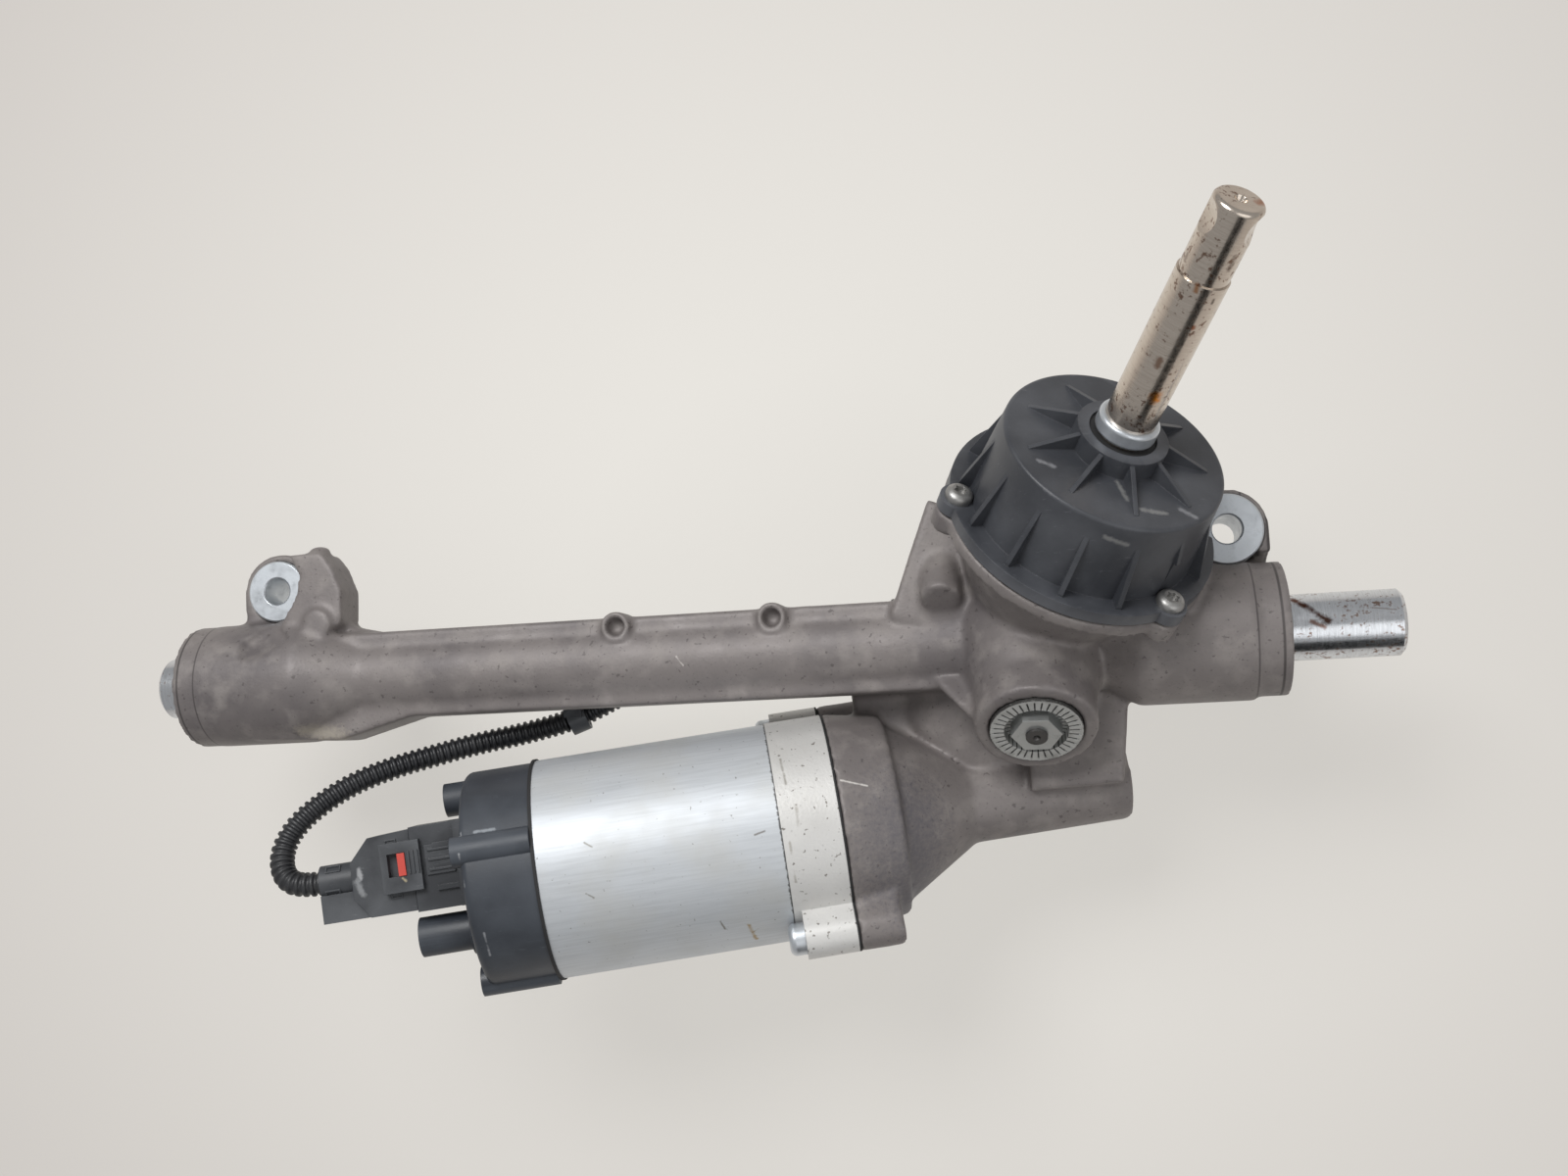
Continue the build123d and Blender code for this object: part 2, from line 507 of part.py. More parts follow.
def housing_hollows():
    """Everything bored out of the casting."""
    stop_right = HOUSING_RIGHT_END - STOP_DEPTH
    stop_left = HOUSING_LEFT_END + STOP_DEPTH
    cuts = [
        rod(RACK_PLANE, TUBE_BORE_R, HOUSING_LEFT_END - 1, HOUSING_RIGHT_END + 1),
        ring(RACK_PLANE, RIGHT_SEAT_R + BOOT_WALL, RIGHT_SEAT_R, HOUSING_RIGHT_END - RIGHT_SEAT_LEN,
             HOUSING_RIGHT_END + 2),
        rod(RACK_PLANE, STOP_BORE_R, stop_right, HOUSING_RIGHT_END + 1),
        rod(RACK_PLANE, STOP_BORE_R, HOUSING_LEFT_END - 1, stop_left),
        rod(RACK_PLANE, RACK_R + RUN_GAP + BUSH_WALL, stop_left - 1, stop_left + BUSH_LEN),
        rod(PINION_PLANE, PINION_PITCH_R + 4.2, WHEEL_ROOM_TOP - 2, UPPER_BEARING_START + 1),
        rod(PINION_PLANE, BEARING_R, UPPER_BEARING_START, TOWER_TOP + 1),
        rod(PINION_PLANE, 36, TOWER_TOP - 10, TOWER_TOP + 1),
        rod(PINION_PLANE, WHEEL_ROOM_R, WHEEL_ROOM_BOTTOM - 1, WHEEL_ROOM_TOP),
        rod(YOKE_PLANE, YOKE_R + RUN_GAP, 0, PLUG_FACE),
        rod(YOKE_PLANE, PLUG_R, PLUG_INNER, PLUG_FACE + 1),
        rod(MOTOR_PLANE, WORM_PITCH_R + GEAR_MODULE + 1.4, JOINT_AT + 20, TUNNEL_END - 5),
        rod(MOTOR_PLANE, WORM_BEARING_R, WORM_LEN / 2 + 2, WORM_LEN / 2 + 2 + WORM_BEARING_LEN),
        rod(MOTOR_PLANE, WORM_BEARING_R, JOINT_AT + 20, -WORM_LEN / 2 - 2),
        rod(MOTOR_PLANE, MOTOR_REGISTER_R, JOINT_AT - 1, JOINT_AT + 21),
        lower_cover_room(),
        cover_room(),
        loom_room(),
        rod(bush_plane(RIGHT_EAR_X), RIGHT_BUSH_R + 1, BUSH_FRONT, BUSH_FRONT + BOLT_HEAD_ROOM),
    ]
    cuts += [Pos(x, EAR_Y, BUSH_FRONT) * Cylinder(r, 80)
             for x, r in ((RIGHT_EAR_X, RIGHT_BUSH_R), (LEFT_EAR_X, LEFT_BUSH_R))]
    cuts += [Pos(x, TUBE_BOSS_Y, TUBE_BOSS_TOP - TUBE_BOSS_DEPTH) * Cylinder(TUBE_BOSS_HOLE_R, 40, align=BASE)
             for x in TUBE_BOSS_X]
    cuts += around(PINION_PLANE, COVER_SCREW_CIRCLE_R, COVER_SCREW_ANGLES,
                   lambda p: rod(p, SCREW_R, TOWER_TOP - 9, TOWER_TOP + 1))
    cuts.append(barrel_pocket())
    cuts += motor_bolt_holes(JOINT_AT - 1, JOINT_AT + 15)
    cuts += around(PINION_PLANE, LOWER_SCREW_CIRCLE_R, LOWER_SCREW_ANGLES,
                   lambda p: rod(p, SCREW_R, WHEEL_ROOM_BOTTOM - 1, WHEEL_ROOM_BOTTOM + 8))
    return cuts


def rack_housing():
    body = housing_along_rack()
    body += mounting_ear(RIGHT_EAR_X, RIGHT_BUSH_R, RIGHT_BUSH_LEN, RIGHT_EAR_WALL, RIGHT_EAR_FOOT)
    body += mounting_ear(LEFT_EAR_X, LEFT_BUSH_R, LEFT_BUSH_LEN, LEFT_EAR_WALL, LEFT_EAR_FOOT)
    body += left_ribs() + tube_bosses() + housing_webs()
    body += pinion_tower()
    body += worm_housing()
    body += yoke_boss()
    lugs = around(PINION_PLANE, LOWER_SCREW_CIRCLE_R, LOWER_SCREW_ANGLES,
                  lambda p: rod(p, SCREW_R + 3, WHEEL_ROOM_BOTTOM, WHEEL_ROOM_BOTTOM + 12))
    body += lugs
    return body - housing_hollows()


# ---- rack bar and what carries it -------------------------------------------------------------
def rack_bar():
    """Round bar with square-cut teeth on the pinion's side and a threaded hole in each end."""
    pitch = pi * GEAR_MODULE
    rise = tan(radians(PRESSURE_ANGLE))
    bar = rod(RACK_PLANE, RACK_R, RACK_LEFT_END, RACK_RIGHT_END)
    bar = chamfer(bar.edges().filter_by(GeomType.CIRCLE), RACK_CHAMFER)
    for end, inward in ((RACK_LEFT_END, 1), (RACK_RIGHT_END, -1)):
        low, high = sorted((end - inward, end + inward * TIE_ROD_HOLE_DEPTH))
        bar -= rod(RACK_PLANE, TIE_ROD_HOLE_R, low, high)
    tip = RACK_PITCH_HEIGHT + RACK_ADDENDUM
    root = RACK_PITCH_HEIGHT - RACK_DEDENDUM
    tip_half = pitch / 4 + RACK_ADDENDUM * rise
    root_half = pitch / 4 - RACK_DEDENDUM * rise
    flat_plane = Plane(origin=RACK_POINT, x_dir=X_AXIS, z_dir=YOKE_DIR * -1)
    first = RACK_FIRST_GAP * pitch
    last = (RACK_FIRST_GAP + RACK_GAPS - 1) * pitch
    bar -= block(flat_plane, (first - pitch / 2, last + pitch / 2), (-RACK_R, RACK_R), (tip, RACK_R + 1))
    side_plane = Plane(origin=RACK_POINT, x_dir=X_AXIS, z_dir=X_AXIS.cross(YOKE_DIR * -1))
    gap = make_face(Polyline((-root_half, root), (-tip_half, tip + 0.01), (tip_half, tip + 0.01),
                             (root_half, root), close=True))
    cutter = side_plane * Pos(0, 0, -RACK_R) * extrude(gap, 2 * RACK_R)
    return bar - [Pos((RACK_FIRST_GAP + i) * pitch, 0, 0) * cutter for i in range(RACK_GAPS)]


def rack_bushing():
    start = HOUSING_LEFT_END + STOP_DEPTH
    inner = RACK_R + RUN_GAP
    return ring(RACK_PLANE, inner + BUSH_WALL, inner, start, start + BUSH_LEN)


def end_stop_rings():
    """Elastic buffers at the bottom of both counterbores."""
    right = HOUSING_RIGHT_END - STOP_DEPTH
    left = HOUSING_LEFT_END + STOP_DEPTH
    bore = RACK_R + FREE_GAP
    return [ring(RACK_PLANE, STOP_BORE_R, bore, right, right + STOP_RING_LEN),
            ring(RACK_PLANE, STOP_BORE_R, bore, left - STOP_RING_LEN, left)]


def mount_bush(x, outer, length):
    middle = Pos(x, EAR_Y, BUSH_FRONT - length / 2)
    bush = middle * Cylinder(outer, length) - middle * Cylinder(BUSH_HOLE_R, length + 2)
    return chamfer(bush.edges().filter_by(GeomType.CIRCLE), 0.6)


# ---- pinion and worm wheel --------------------------------------------------------------------
def pinion():
    """Helical pinion with its shaft; the upper end holds the torsion bar and input shaft."""
    tooth_dir = X_AXIS.cross(YOKE_DIR)
    round_dir = PINION_DIR.cross(YOKE_DIR)
    turn = degrees(tooth_dir.dot(round_dir) / tooth_dir.dot(PINION_DIR) / PINION_PITCH_R)
    reach = PINION_PITCH_R + PINION_SHIFT * GEAR_MODULE
    section = involute_gear(PINION_TEETH, PINION_SKEW, PINION_SHIFT, reach + PINION_ADDENDUM,
                            reach - RACK_ADDENDUM - PINION_ROOT_GAP, 4)
    half = PINION_FACE / 2
    body = twisted(PINION_PLANE, section, -half, half, turn)
    body += rod(PINION_PLANE, PINION_SHAFT_R, half, PINION_TOP)
    body += rod(PINION_PLANE, PINION_TAIL_R, WHEEL_ROOM_BOTTOM - BEARING_LEN, -half)
    body -= rod(PINION_PLANE, TORSION_BAR_R, TORSION_BAR_FOOT, PINION_TOP)
    return body - rod(PINION_PLANE, SPIGOT_R + RUN_GAP, PINION_TOP - SPIGOT_LEN, PINION_TOP + 1)


def worm_wheel_hub():
    half = WHEEL_FACE / 2
    hub = ring(WHEEL_PLANE, WHEEL_HUB_R, PINION_TAIL_R, -half + 3, half - 3)
    boss = ring(WHEEL_PLANE, PINION_TAIL_R + 6, PINION_TAIL_R, -half, half)
    windows = around(WHEEL_PLANE, (WHEEL_HUB_R + PINION_TAIL_R + 6) / 2, even_angles(6),
                     lambda p: rod(p, 4.5, -half, half))
    return hub - windows + boss


def worm_wheel_rim():
    """Moulded rim with the wheel's teeth, a gap between two of them facing the worm."""
    section = involute_gear(WHEEL_TEETH, 0, 0, WHEEL_PITCH_R + 0.9 * GEAR_MODULE,
                            WHEEL_PITCH_R - 1.2 * GEAR_MODULE, 2)
    section = Rot(0, 0, 180.0 / WHEEL_TEETH) * section
    half = WHEEL_FACE / 2
    rim = WHEEL_PLANE * Pos(0, 0, -half) * extrude(section, WHEEL_FACE)
    return rim - rod(WHEEL_PLANE, WHEEL_HUB_R, -half - 1, half + 1)


def torsion_bar():
    return rod(PINION_PLANE, TORSION_BAR_R, TORSION_BAR_FOOT, TORSION_BAR_HEAD)


def input_shaft():
    """Steering input: a long round shaft with a necked, notched end for the joint's clamp."""
    foot = PINION_TOP + FREE_GAP
    shaft = rod(PINION_PLANE, INPUT_R, foot, INPUT_NECK_START)
    shaft += rod(PINION_PLANE, INPUT_NECK_R, INPUT_NECK_START, INPUT_TOP)
    shaft = fillet(end_rim(shaft, PINION_PLANE, -1), INPUT_ROUND)
    shaft += rod(PINION_PLANE, SPIGOT_R, PINION_TOP - SPIGOT_LEN + FREE_GAP, foot + 1)
    shaft -= rod(PINION_PLANE, TORSION_BAR_R + RUN_GAP, PINION_TOP - SPIGOT_LEN - 1,
                 TORSION_BAR_HEAD + FREE_GAP)
    shaft -= around(PINION_PLANE, INPUT_NECK_R - NOTCH_DEPTH, NOTCH_ANGLES, clamp_notch)
    return shaft - taper(PINION_PLANE, 0.4, 2.4, INPUT_TOP - 4, INPUT_TOP + 0.01)


def clamp_notch(plane):
    """Cutter across the shaft, rounded so that the notch runs out at both ends."""
    cutter_r = (NOTCH_HALF ** 2 + NOTCH_DEPTH ** 2) / 2 / NOTCH_DEPTH
    return plane * Pos(cutter_r, 0, NOTCH_AT) * Rot(90, 0, 0) * Cylinder(cutter_r, 3 * INPUT_R)


def shaft_collar():
    foot = COVER_TOP + SEAL_HOUSING_LEN + FREE_GAP
    collar = rod(PINION_PLANE, COLLAR_R, foot, foot + COLLAR_LEN)
    collar = fillet(collar.edges().filter_by(GeomType.CIRCLE), COLLAR_ROUND)
    return collar - rod(PINION_PLANE, INPUT_R, foot - 1, foot + COLLAR_LEN + 1)


# ---- sensor tower -----------------------------------------------------------------------------
def upper_bearing():
    return ring(PINION_PLANE, BEARING_R, PINION_SHAFT_R + RUN_GAP, UPPER_BEARING_START,
                UPPER_BEARING_START + BEARING_LEN)


def lower_bearing():
    end = WHEEL_ROOM_BOTTOM - FREE_GAP
    return ring(PINION_PLANE, LOWER_BEARING_R, PINION_TAIL_R + RUN_GAP, end - BEARING_LEN, end)


def lower_cover():
    """Cap under the worm wheel, with the pocket of the pinion's lower bearing."""
    top = WHEEL_ROOM_BOTTOM
    disc = rod(PINION_PLANE, WHEEL_DRUM_R, top - LOWER_COVER_LEN, top)
    lugs = around(PINION_PLANE, LOWER_SCREW_CIRCLE_R, LOWER_SCREW_ANGLES,
                  lambda p: rod(p, SCREW_R + 3, top - LOWER_COVER_LEN, top))
    pocket_end = top - BEARING_LEN - FREE_GAP
    disc += taper(PINION_PLANE, LOWER_BEARING_R + 3, LOWER_BEARING_R + 6, pocket_end - 4, top - 3)
    cover = disc + lugs - rod(PINION_PLANE, LOWER_BEARING_R, pocket_end, top + 1)
    holes = around(PINION_PLANE, LOWER_SCREW_CIRCLE_R, LOWER_SCREW_ANGLES,
                   lambda p: rod(p, SCREW_R, top - LOWER_COVER_LEN - 1, top + 1))
    return cover - holes


def screw(plane, head_at, length, side):
    """Round-headed screw; side is +1 where the head faces along the plane's axis."""
    head = plane.location * Pos(0, 0, head_at) * Rot(0 if side > 0 else 180, 0, 0)
    part = head * Cylinder(SCREW_HEAD_R, SCREW_HEAD_LEN, align=BASE)
    part = chamfer(end_rim(part, plane, -1 if side > 0 else 0), 1.4)
    return part + head * Pos(0, 0, -length) * Cylinder(SCREW_R, length + 0.5, align=BASE)


def lower_cover_screws():
    foot = WHEEL_ROOM_BOTTOM - LOWER_COVER_LEN
    return around(PINION_PLANE, LOWER_SCREW_CIRCLE_R, LOWER_SCREW_ANGLES,
                  lambda p: screw(p, foot, LOWER_COVER_LEN + 7, -1))


def bolt_room():
    """Room above the pinion-side mounting bush, for its bolt's head."""
    return rod(bush_plane(RIGHT_EAR_X), RIGHT_BUSH_R + 1, BUSH_FRONT - BOLT_ROOM_DEPTH,
               BUSH_FRONT + BOLT_HEAD_ROOM)


def loom_room():
    """Notch for the loom in the rim of the tower and the cover."""
    return rod(port_plane(), LOOM_R + 0.6, TOWER_TOP - LOOM_NOTCH, PORT_FOOT)


def cover_gasket():
    gasket = ring(PINION_PLANE, TOWER_FLANGE_R - 1.5, COVER_FOOT_R, TOWER_TOP, GASKET_TOP)
    gasket = gasket - bolt_room() - loom_room()
    return gasket - around(PINION_PLANE, COVER_SCREW_CIRCLE_R, COVER_SCREW_ANGLES,
                           lambda p: rod(p, SCREW_R, TOWER_TOP - 1, GASKET_TOP + 1))


def wedge_rib(plane, points, thick):
    """Thin rib in the plane's XZ, centred on the plane."""
    face = make_face(Polyline(*points, close=True))
    side = Plane(origin=plane.origin, x_dir=plane.x_dir, z_dir=plane.x_dir.cross(plane.z_dir))
    return side * Pos(0, 0, -thick / 2) * extrude(face, thick)


def sensor_cover():
    """Moulded cap with a flange, a raised seal housing, star ribs on top and ribs down its side."""
    cover = taper(PINION_PLANE, COVER_FOOT_R, COVER_R, GASKET_TOP, COVER_TOP)
    cover = fillet(end_rim(cover, PINION_PLANE, -1), 1.5)
    cover += rod(PINION_PLANE, TOWER_FLANGE_R, GASKET_TOP, COVER_WALL_FOOT)
    cover += rod(PINION_PLANE, SEAL_HOUSING_R, COVER_TOP - 1, COVER_TOP + SEAL_HOUSING_LEN)
    ears = around(PINION_PLANE, COVER_SCREW_CIRCLE_R, COVER_SCREW_ANGLES,
                  lambda p: rod(p, SCREW_HEAD_R + 1.6, GASKET_TOP, COVER_WALL_FOOT))
    cover += ears
    low = SEAL_HOUSING_R - 1
    star = [(low, COVER_TOP - 1), (COVER_R - 7, COVER_TOP - 1), (COVER_R - 7, COVER_TOP + 0.3),
            (low, COVER_TOP + SEAL_HOUSING_LEN - 0.6)]
    cover += [wedge_rib(placed(PINION_PLANE, turn=angle), star, TOP_RIB_THICK)
              for angle in even_angles(COVER_TOP_RIBS, 8)]
    fin = [(COVER_R - 2, COVER_WALL_FOOT - 1), (COVER_FOOT_R + 4.5, COVER_WALL_FOOT - 1),
           (COVER_FOOT_R + 4.5, COVER_WALL_FOOT + 1), (COVER_R + 0.4, COVER_TOP - 8),
           (COVER_R - 2, COVER_TOP - 8)]
    cover += [wedge_rib(placed(PINION_PLANE, turn=angle), fin, SIDE_RIB_THICK)
              for angle in even_angles(COVER_SIDE_RIBS, 12)]
    cover -= rod(PINION_PLANE, COVER_R - COVER_WALL, GASKET_TOP - 1, COVER_TOP - COVER_ROOF)
    cover -= rod(PINION_PLANE, SEAL_R, COVER_TOP - COVER_ROOF - 1, COVER_TOP + SEAL_HOUSING_LEN + 1)
    cover -= around(PINION_PLANE, COVER_SCREW_CIRCLE_R, COVER_SCREW_ANGLES, screw_pocket)
    cover = cover - bolt_room() - loom_room()
    return cover + sensor_port()


def screw_pocket(plane):
    hole = rod(plane, SCREW_R, GASKET_TOP - 1, COVER_WALL_FOOT + 1)
    return hole + rod(plane, SCREW_HEAD_R + 0.4, COVER_WALL_FOOT, COVER_WALL_FOOT + 16)


def port_plane():
    return placed(placed(PINION_PLANE, turn=PORT_ANGLE), PORT_REACH)


def sensor_port():
    """Hollow outlet of the sensor's loom on the cover's rear side, open downwards."""
    plane = port_plane()
    top = PORT_FOOT + PORT_LEN
    port = rod(plane, PORT_R, PORT_FOOT, top)
    port += block(plane, (-(PORT_REACH - COVER_R - 0.5), 0), (-PORT_R, PORT_R), (COVER_WALL_FOOT + 2, top))
    return port - rod(plane, LOOM_R + GROMMET_WALL, PORT_FOOT - 1, top - 3)


def sensor_grommet():
    return ring(port_plane(), LOOM_R + GROMMET_WALL, LOOM_R, PORT_FOOT, PORT_FOOT + GROMMET_LEN)


def shaft_seal():
    top = COVER_TOP + SEAL_HOUSING_LEN - 0.8
    return ring(PINION_PLANE, SEAL_R, INPUT_R + RUN_GAP, top - 7, top)


def cover_screws():
    return around(PINION_PLANE, COVER_SCREW_CIRCLE_R, COVER_SCREW_ANGLES,
                  lambda p: screw(p, COVER_WALL_FOOT, COVER_FLANGE_LEN + GASKET_LEN + 7, 1))


def torque_sensor():
    """Ring-shaped sensor board and coil carrier pressed up into the cover."""
    top = COVER_TOP - COVER_ROOF
    return ring(PINION_PLANE, COVER_R - COVER_WALL, 27, top - 14, top)


def sensor_rotor():
    return ring(PINION_PLANE, 25, INPUT_R, 70, 80)


def sensor_magnet():
    return ring(PINION_PLANE, 25, PINION_SHAFT_R, PINION_TOP - 9, PINION_TOP - 1)


# ---- yoke -------------------------------------------------------------------------------------
def yoke():
    body = rod(YOKE_PLANE, YOKE_R, 3, YOKE_BACK)
    body -= rod(RACK_PLANE, RACK_R + RUN_GAP, PINION_X - 40, PINION_X + 40)
    return body - rod(YOKE_PLANE, YOKE_SPRING_R + 2.2, YOKE_BACK - 8, YOKE_BACK + 1)


def yoke_spring():
    wire = 1.5
    length = PLUG_INNER - (YOKE_BACK - 8) - 2 * wire
    path = Helix(pitch=length / 3, height=length, radius=YOKE_SPRING_R)
    coil = sweep(Plane(origin=path @ 0, z_dir=path % 0) * Circle(wire), path)
    return YOKE_PLANE * Pos(0, 0, YOKE_BACK - 8 + wire) * coil


def yoke_plug():
    """Threaded adjuster whose face carries evenly spaced setting marks round a recess."""
    plug = rod(YOKE_PLANE, PLUG_R, PLUG_INNER, PLUG_FACE)
    plug -= rod(YOKE_PLANE, PLUG_RECESS_R, PLUG_FACE - PLUG_RECESS, PLUG_FACE + 1)
    plug -= rod(YOKE_PLANE, STUD_R, PLUG_INNER - 1, PLUG_FACE + 1)
    middle = (PLUG_R + PLUG_RECESS_R) / 2
    return plug - around(YOKE_PLANE, middle, even_angles(PLUG_MARKS),
                         lambda p: block(p, (-1.8, 1.8), (-0.3, 0.3), (PLUG_FACE - 0.35, PLUG_FACE + 1)))


def yoke_nut():
    foot = PLUG_FACE - PLUG_RECESS
    nut = YOKE_PLANE * Pos(0, 0, foot) * extrude(RegularPolygon(NUT_FLATS / 2, 6, major_radius=False), NUT_LEN)
    return nut - rod(YOKE_PLANE, STUD_R, foot - 1, foot + NUT_LEN + 1)


def yoke_stud():
    end = PLUG_FACE - PLUG_RECESS + NUT_LEN + 1.2
    stud = rod(YOKE_PLANE, STUD_R, PLUG_INNER, end)
    return stud - taper(YOKE_PLANE, 0.3, 1.5, end - 2, end + 0.01)


# ---- worm drive -------------------------------------------------------------------------------
def worm():
    """Two-start worm with its journals, one thread facing the wheel at the pitch point."""
    round_dir = MOTOR_DIR.cross(WORM_SIDE * -1)
    turn = degrees(PINION_DIR.dot(round_dir) / PINION_DIR.dot(MOTOR_DIR) / WORM_PITCH_R)
    section = involute_gear(WORM_STARTS, 90 - WORM_LEAD, 0, WORM_PITCH_R + 0.9 * GEAR_MODULE,
                            WORM_PITCH_R - 1.2 * GEAR_MODULE, 2)
    half = WORM_LEN / 2
    body = twisted(WORM_PLANE, section, -half, half, turn)
    journal = half + 2 + WORM_BEARING_LEN
    body += rod(WORM_PLANE, WORM_SHAFT_R, half, journal)
    return body + rod(WORM_PLANE, WORM_SHAFT_R, -journal - 4, -half)


def worm_bearings():
    start = WORM_LEN / 2 + 2
    inner = WORM_SHAFT_R + RUN_GAP
    return [ring(MOTOR_PLANE, WORM_BEARING_R, inner, start, start + WORM_BEARING_LEN),
            ring(MOTOR_PLANE, WORM_BEARING_R, inner, -start - WORM_BEARING_LEN, -start)]


def coupling():
    """Elastic coupling between the worm and the motor's shaft."""
    end = -(WORM_LEN / 2 + 2 + WORM_BEARING_LEN) - FREE_GAP
    return ring(MOTOR_PLANE, WORM_BEARING_R - 1, WORM_SHAFT_R, end - COUPLING_LEN, end)


# ---- motor ------------------------------------------------------------------------------------
def motor_ears(plane_start, plane_end):
    ears = around(MOTOR_PLANE, MOTOR_BOLT_CIRCLE_R, MOTOR_BOLT_ANGLES,
                  lambda p: rod(p, MOTOR_EAR_R, plane_start, plane_end))
    webs = around(MOTOR_PLANE, MOTOR_BOLT_CIRCLE_R - 9, MOTOR_BOLT_ANGLES,
                  lambda p: block(p, (-9, 9), (-MOTOR_EAR_R, MOTOR_EAR_R), (plane_start, plane_end)))
    return ears + webs


def motor_bolt_holes(start, end):
    return around(MOTOR_PLANE, MOTOR_BOLT_CIRCLE_R, MOTOR_BOLT_ANGLES,
                  lambda p: rod(p, MOTOR_BOLT_R, start, end))


def motor_flange():
    """Cast end plate of the motor, with ears for its bolts and the front bearing's pocket."""
    top = JOINT_AT - MOTOR_GASKET_LEN
    body = rod(MOTOR_PLANE, CAN_R, CAN_END, top)
    body += motor_ears(CAN_END + 3, top)
    body -= rod(MOTOR_PLANE, WORM_BEARING_R + 2, top - MOTOR_BEARING_LEN, top + 1)
    body -= rod(MOTOR_PLANE, ROTOR_SHAFT_R + FREE_GAP, CAN_END - 1, top + 1)
    return body - motor_bolt_holes(CAN_END, top + 1)


def motor_gasket():
    top = JOINT_AT
    foot = JOINT_AT - MOTOR_GASKET_LEN
    body = rod(MOTOR_PLANE, CAN_R, foot, top) + motor_ears(foot, top)
    return body - rod(MOTOR_PLANE, MOTOR_REGISTER_R, foot - 1, top + 1) - motor_bolt_holes(foot - 1, top + 1)


def motor_bolts():
    """Domed bolts through the motor's ears into the housing."""
    head_at = CAN_END + 3

    def bolt(plane):
        head = rod(plane, MOTOR_HEAD_R, head_at - MOTOR_HEAD_LEN, head_at)
        head = fillet(end_rim(head, plane, 0), MOTOR_HEAD_ROUND)
        return head + rod(plane, MOTOR_BOLT_R, head_at - 1, JOINT_AT + 12)

    return around(MOTOR_PLANE, MOTOR_BOLT_CIRCLE_R, MOTOR_BOLT_ANGLES, bolt)


def motor_can():
    can = ring(MOTOR_PLANE, CAN_R - 0.4, CAN_R - CAN_WALL, CAN_START, CAN_END)
    plate = ring(MOTOR_PLANE, CAN_R - CAN_WALL, WORM_BEARING_R, CAN_START, CAN_START + MOTOR_BEARING_LEN)
    return can + plate


def motor_bearings():
    top = JOINT_AT - MOTOR_GASKET_LEN
    inner = ROTOR_SHAFT_R + RUN_GAP
    return [ring(MOTOR_PLANE, WORM_BEARING_R + 2, inner, top - MOTOR_BEARING_LEN, top),
            ring(MOTOR_PLANE, WORM_BEARING_R, inner, CAN_START, CAN_START + MOTOR_BEARING_LEN)]


def rotor_start():
    return (CAN_START + CAN_END - ROTOR_LEN) / 2


def stator():
    """Laminated ring with a slot for each coil."""
    outer = CAN_R - CAN_WALL
    inner = ROTOR_R + FREE_GAP
    body = ring(MOTOR_PLANE, outer, inner, rotor_start() - 6, rotor_start() + ROTOR_LEN + 6)
    low = rotor_start() - 7
    return body - around(MOTOR_PLANE, (outer + inner) / 2, even_angles(STATOR_SLOTS),
                         lambda p: block(p, (-7, 6), (-3, 3), (low, low + ROTOR_LEN + 14)))


def rotor():
    return ring(MOTOR_PLANE, ROTOR_R, ROTOR_SHAFT_R, rotor_start(), rotor_start() + ROTOR_LEN)


def rotor_shaft():
    end = -(WORM_LEN / 2 + 2 + WORM_BEARING_LEN) - FREE_GAP - COUPLING_LEN / 2
    shaft = rod(MOTOR_PLANE, ROTOR_SHAFT_R, CAN_START + 1, end - COUPLING_LEN / 2)
    return shaft + rod(MOTOR_PLANE, WORM_SHAFT_R, end - COUPLING_LEN / 2, end - FREE_GAP)


# ---- control unit and connectors --------------------------------------------------------------
def ecu_cover():
    """Moulded cup on the motor's end, with three screw lugs and a small stub."""
    cover = rod(MOTOR_PLANE, ECU_R, ECU_START, CAN_START - ECU_SEAL_LEN)
    cover = fillet(end_rim(cover, MOTOR_PLANE, 0), 3)
    lugs = around(MOTOR_PLANE, ECU_R - 3, ECU_LUG_ANGLES,
                  lambda p: rod(p, 6.0, ECU_START - 3, CAN_START - ECU_SEAL_LEN))
    stub = rod(placed(MOTOR_PLANE, STUB_UP, STUB_OUT), STUB_R, ECU_START - 12, ECU_START + 5)
    return cover + lugs + stub - rod(MOTOR_PLANE, ECU_R - 3.5, ECU_START + 5, CAN_START)


def ecu_seal():
    return ring(MOTOR_PLANE, CAN_R + 0.3, ECU_R - 3.5, CAN_START - ECU_SEAL_LEN, CAN_START)


def ecu_board():
    return rod(MOTOR_PLANE, ECU_R - 3.5, CAN_START - 12, CAN_START - 10.2)


def header_plane():
    return placed(MOTOR_PLANE, HEADER_UP, HEADER_OUT)


def signal_header():
    """Shroud that takes the harness plug, open away from the motor."""
    plane = header_plane()
    mouth = ECU_START - HEADER_LEN
    up = HEADER_HEIGHT / 2
    out = HEADER_DEPTH / 2
    shroud = block(plane, (-up, up), (-out, out), (mouth, ECU_START))
    shroud += block(plane, (-up, up), (-out - 2, out + 2), (ECU_START - 6, ECU_START))
    for offset in (-up / 2, 0, up / 2):
        shroud += block(plane, (offset - 1, offset + 1), (out, out + 1.6), (mouth + 9, ECU_START - 6))
    return shroud - block(plane, (-up + HEADER_WALL, up - HEADER_WALL), (-out + HEADER_WALL, out - HEADER_WALL),
                          (mouth - 1, ECU_START - 4))


def power_header():
    """Round two-pole power socket beside the signal header."""
    plane = placed(MOTOR_PLANE, POWER_UP, POWER_OUT)
    mouth = ECU_START - POWER_LEN
    socket = rod(plane, POWER_R, mouth, ECU_START)
    socket += rod(plane, POWER_R + 2, ECU_START - 5, ECU_START)
    return socket - rod(plane, POWER_R - 2, mouth - 1, ECU_START - 4)


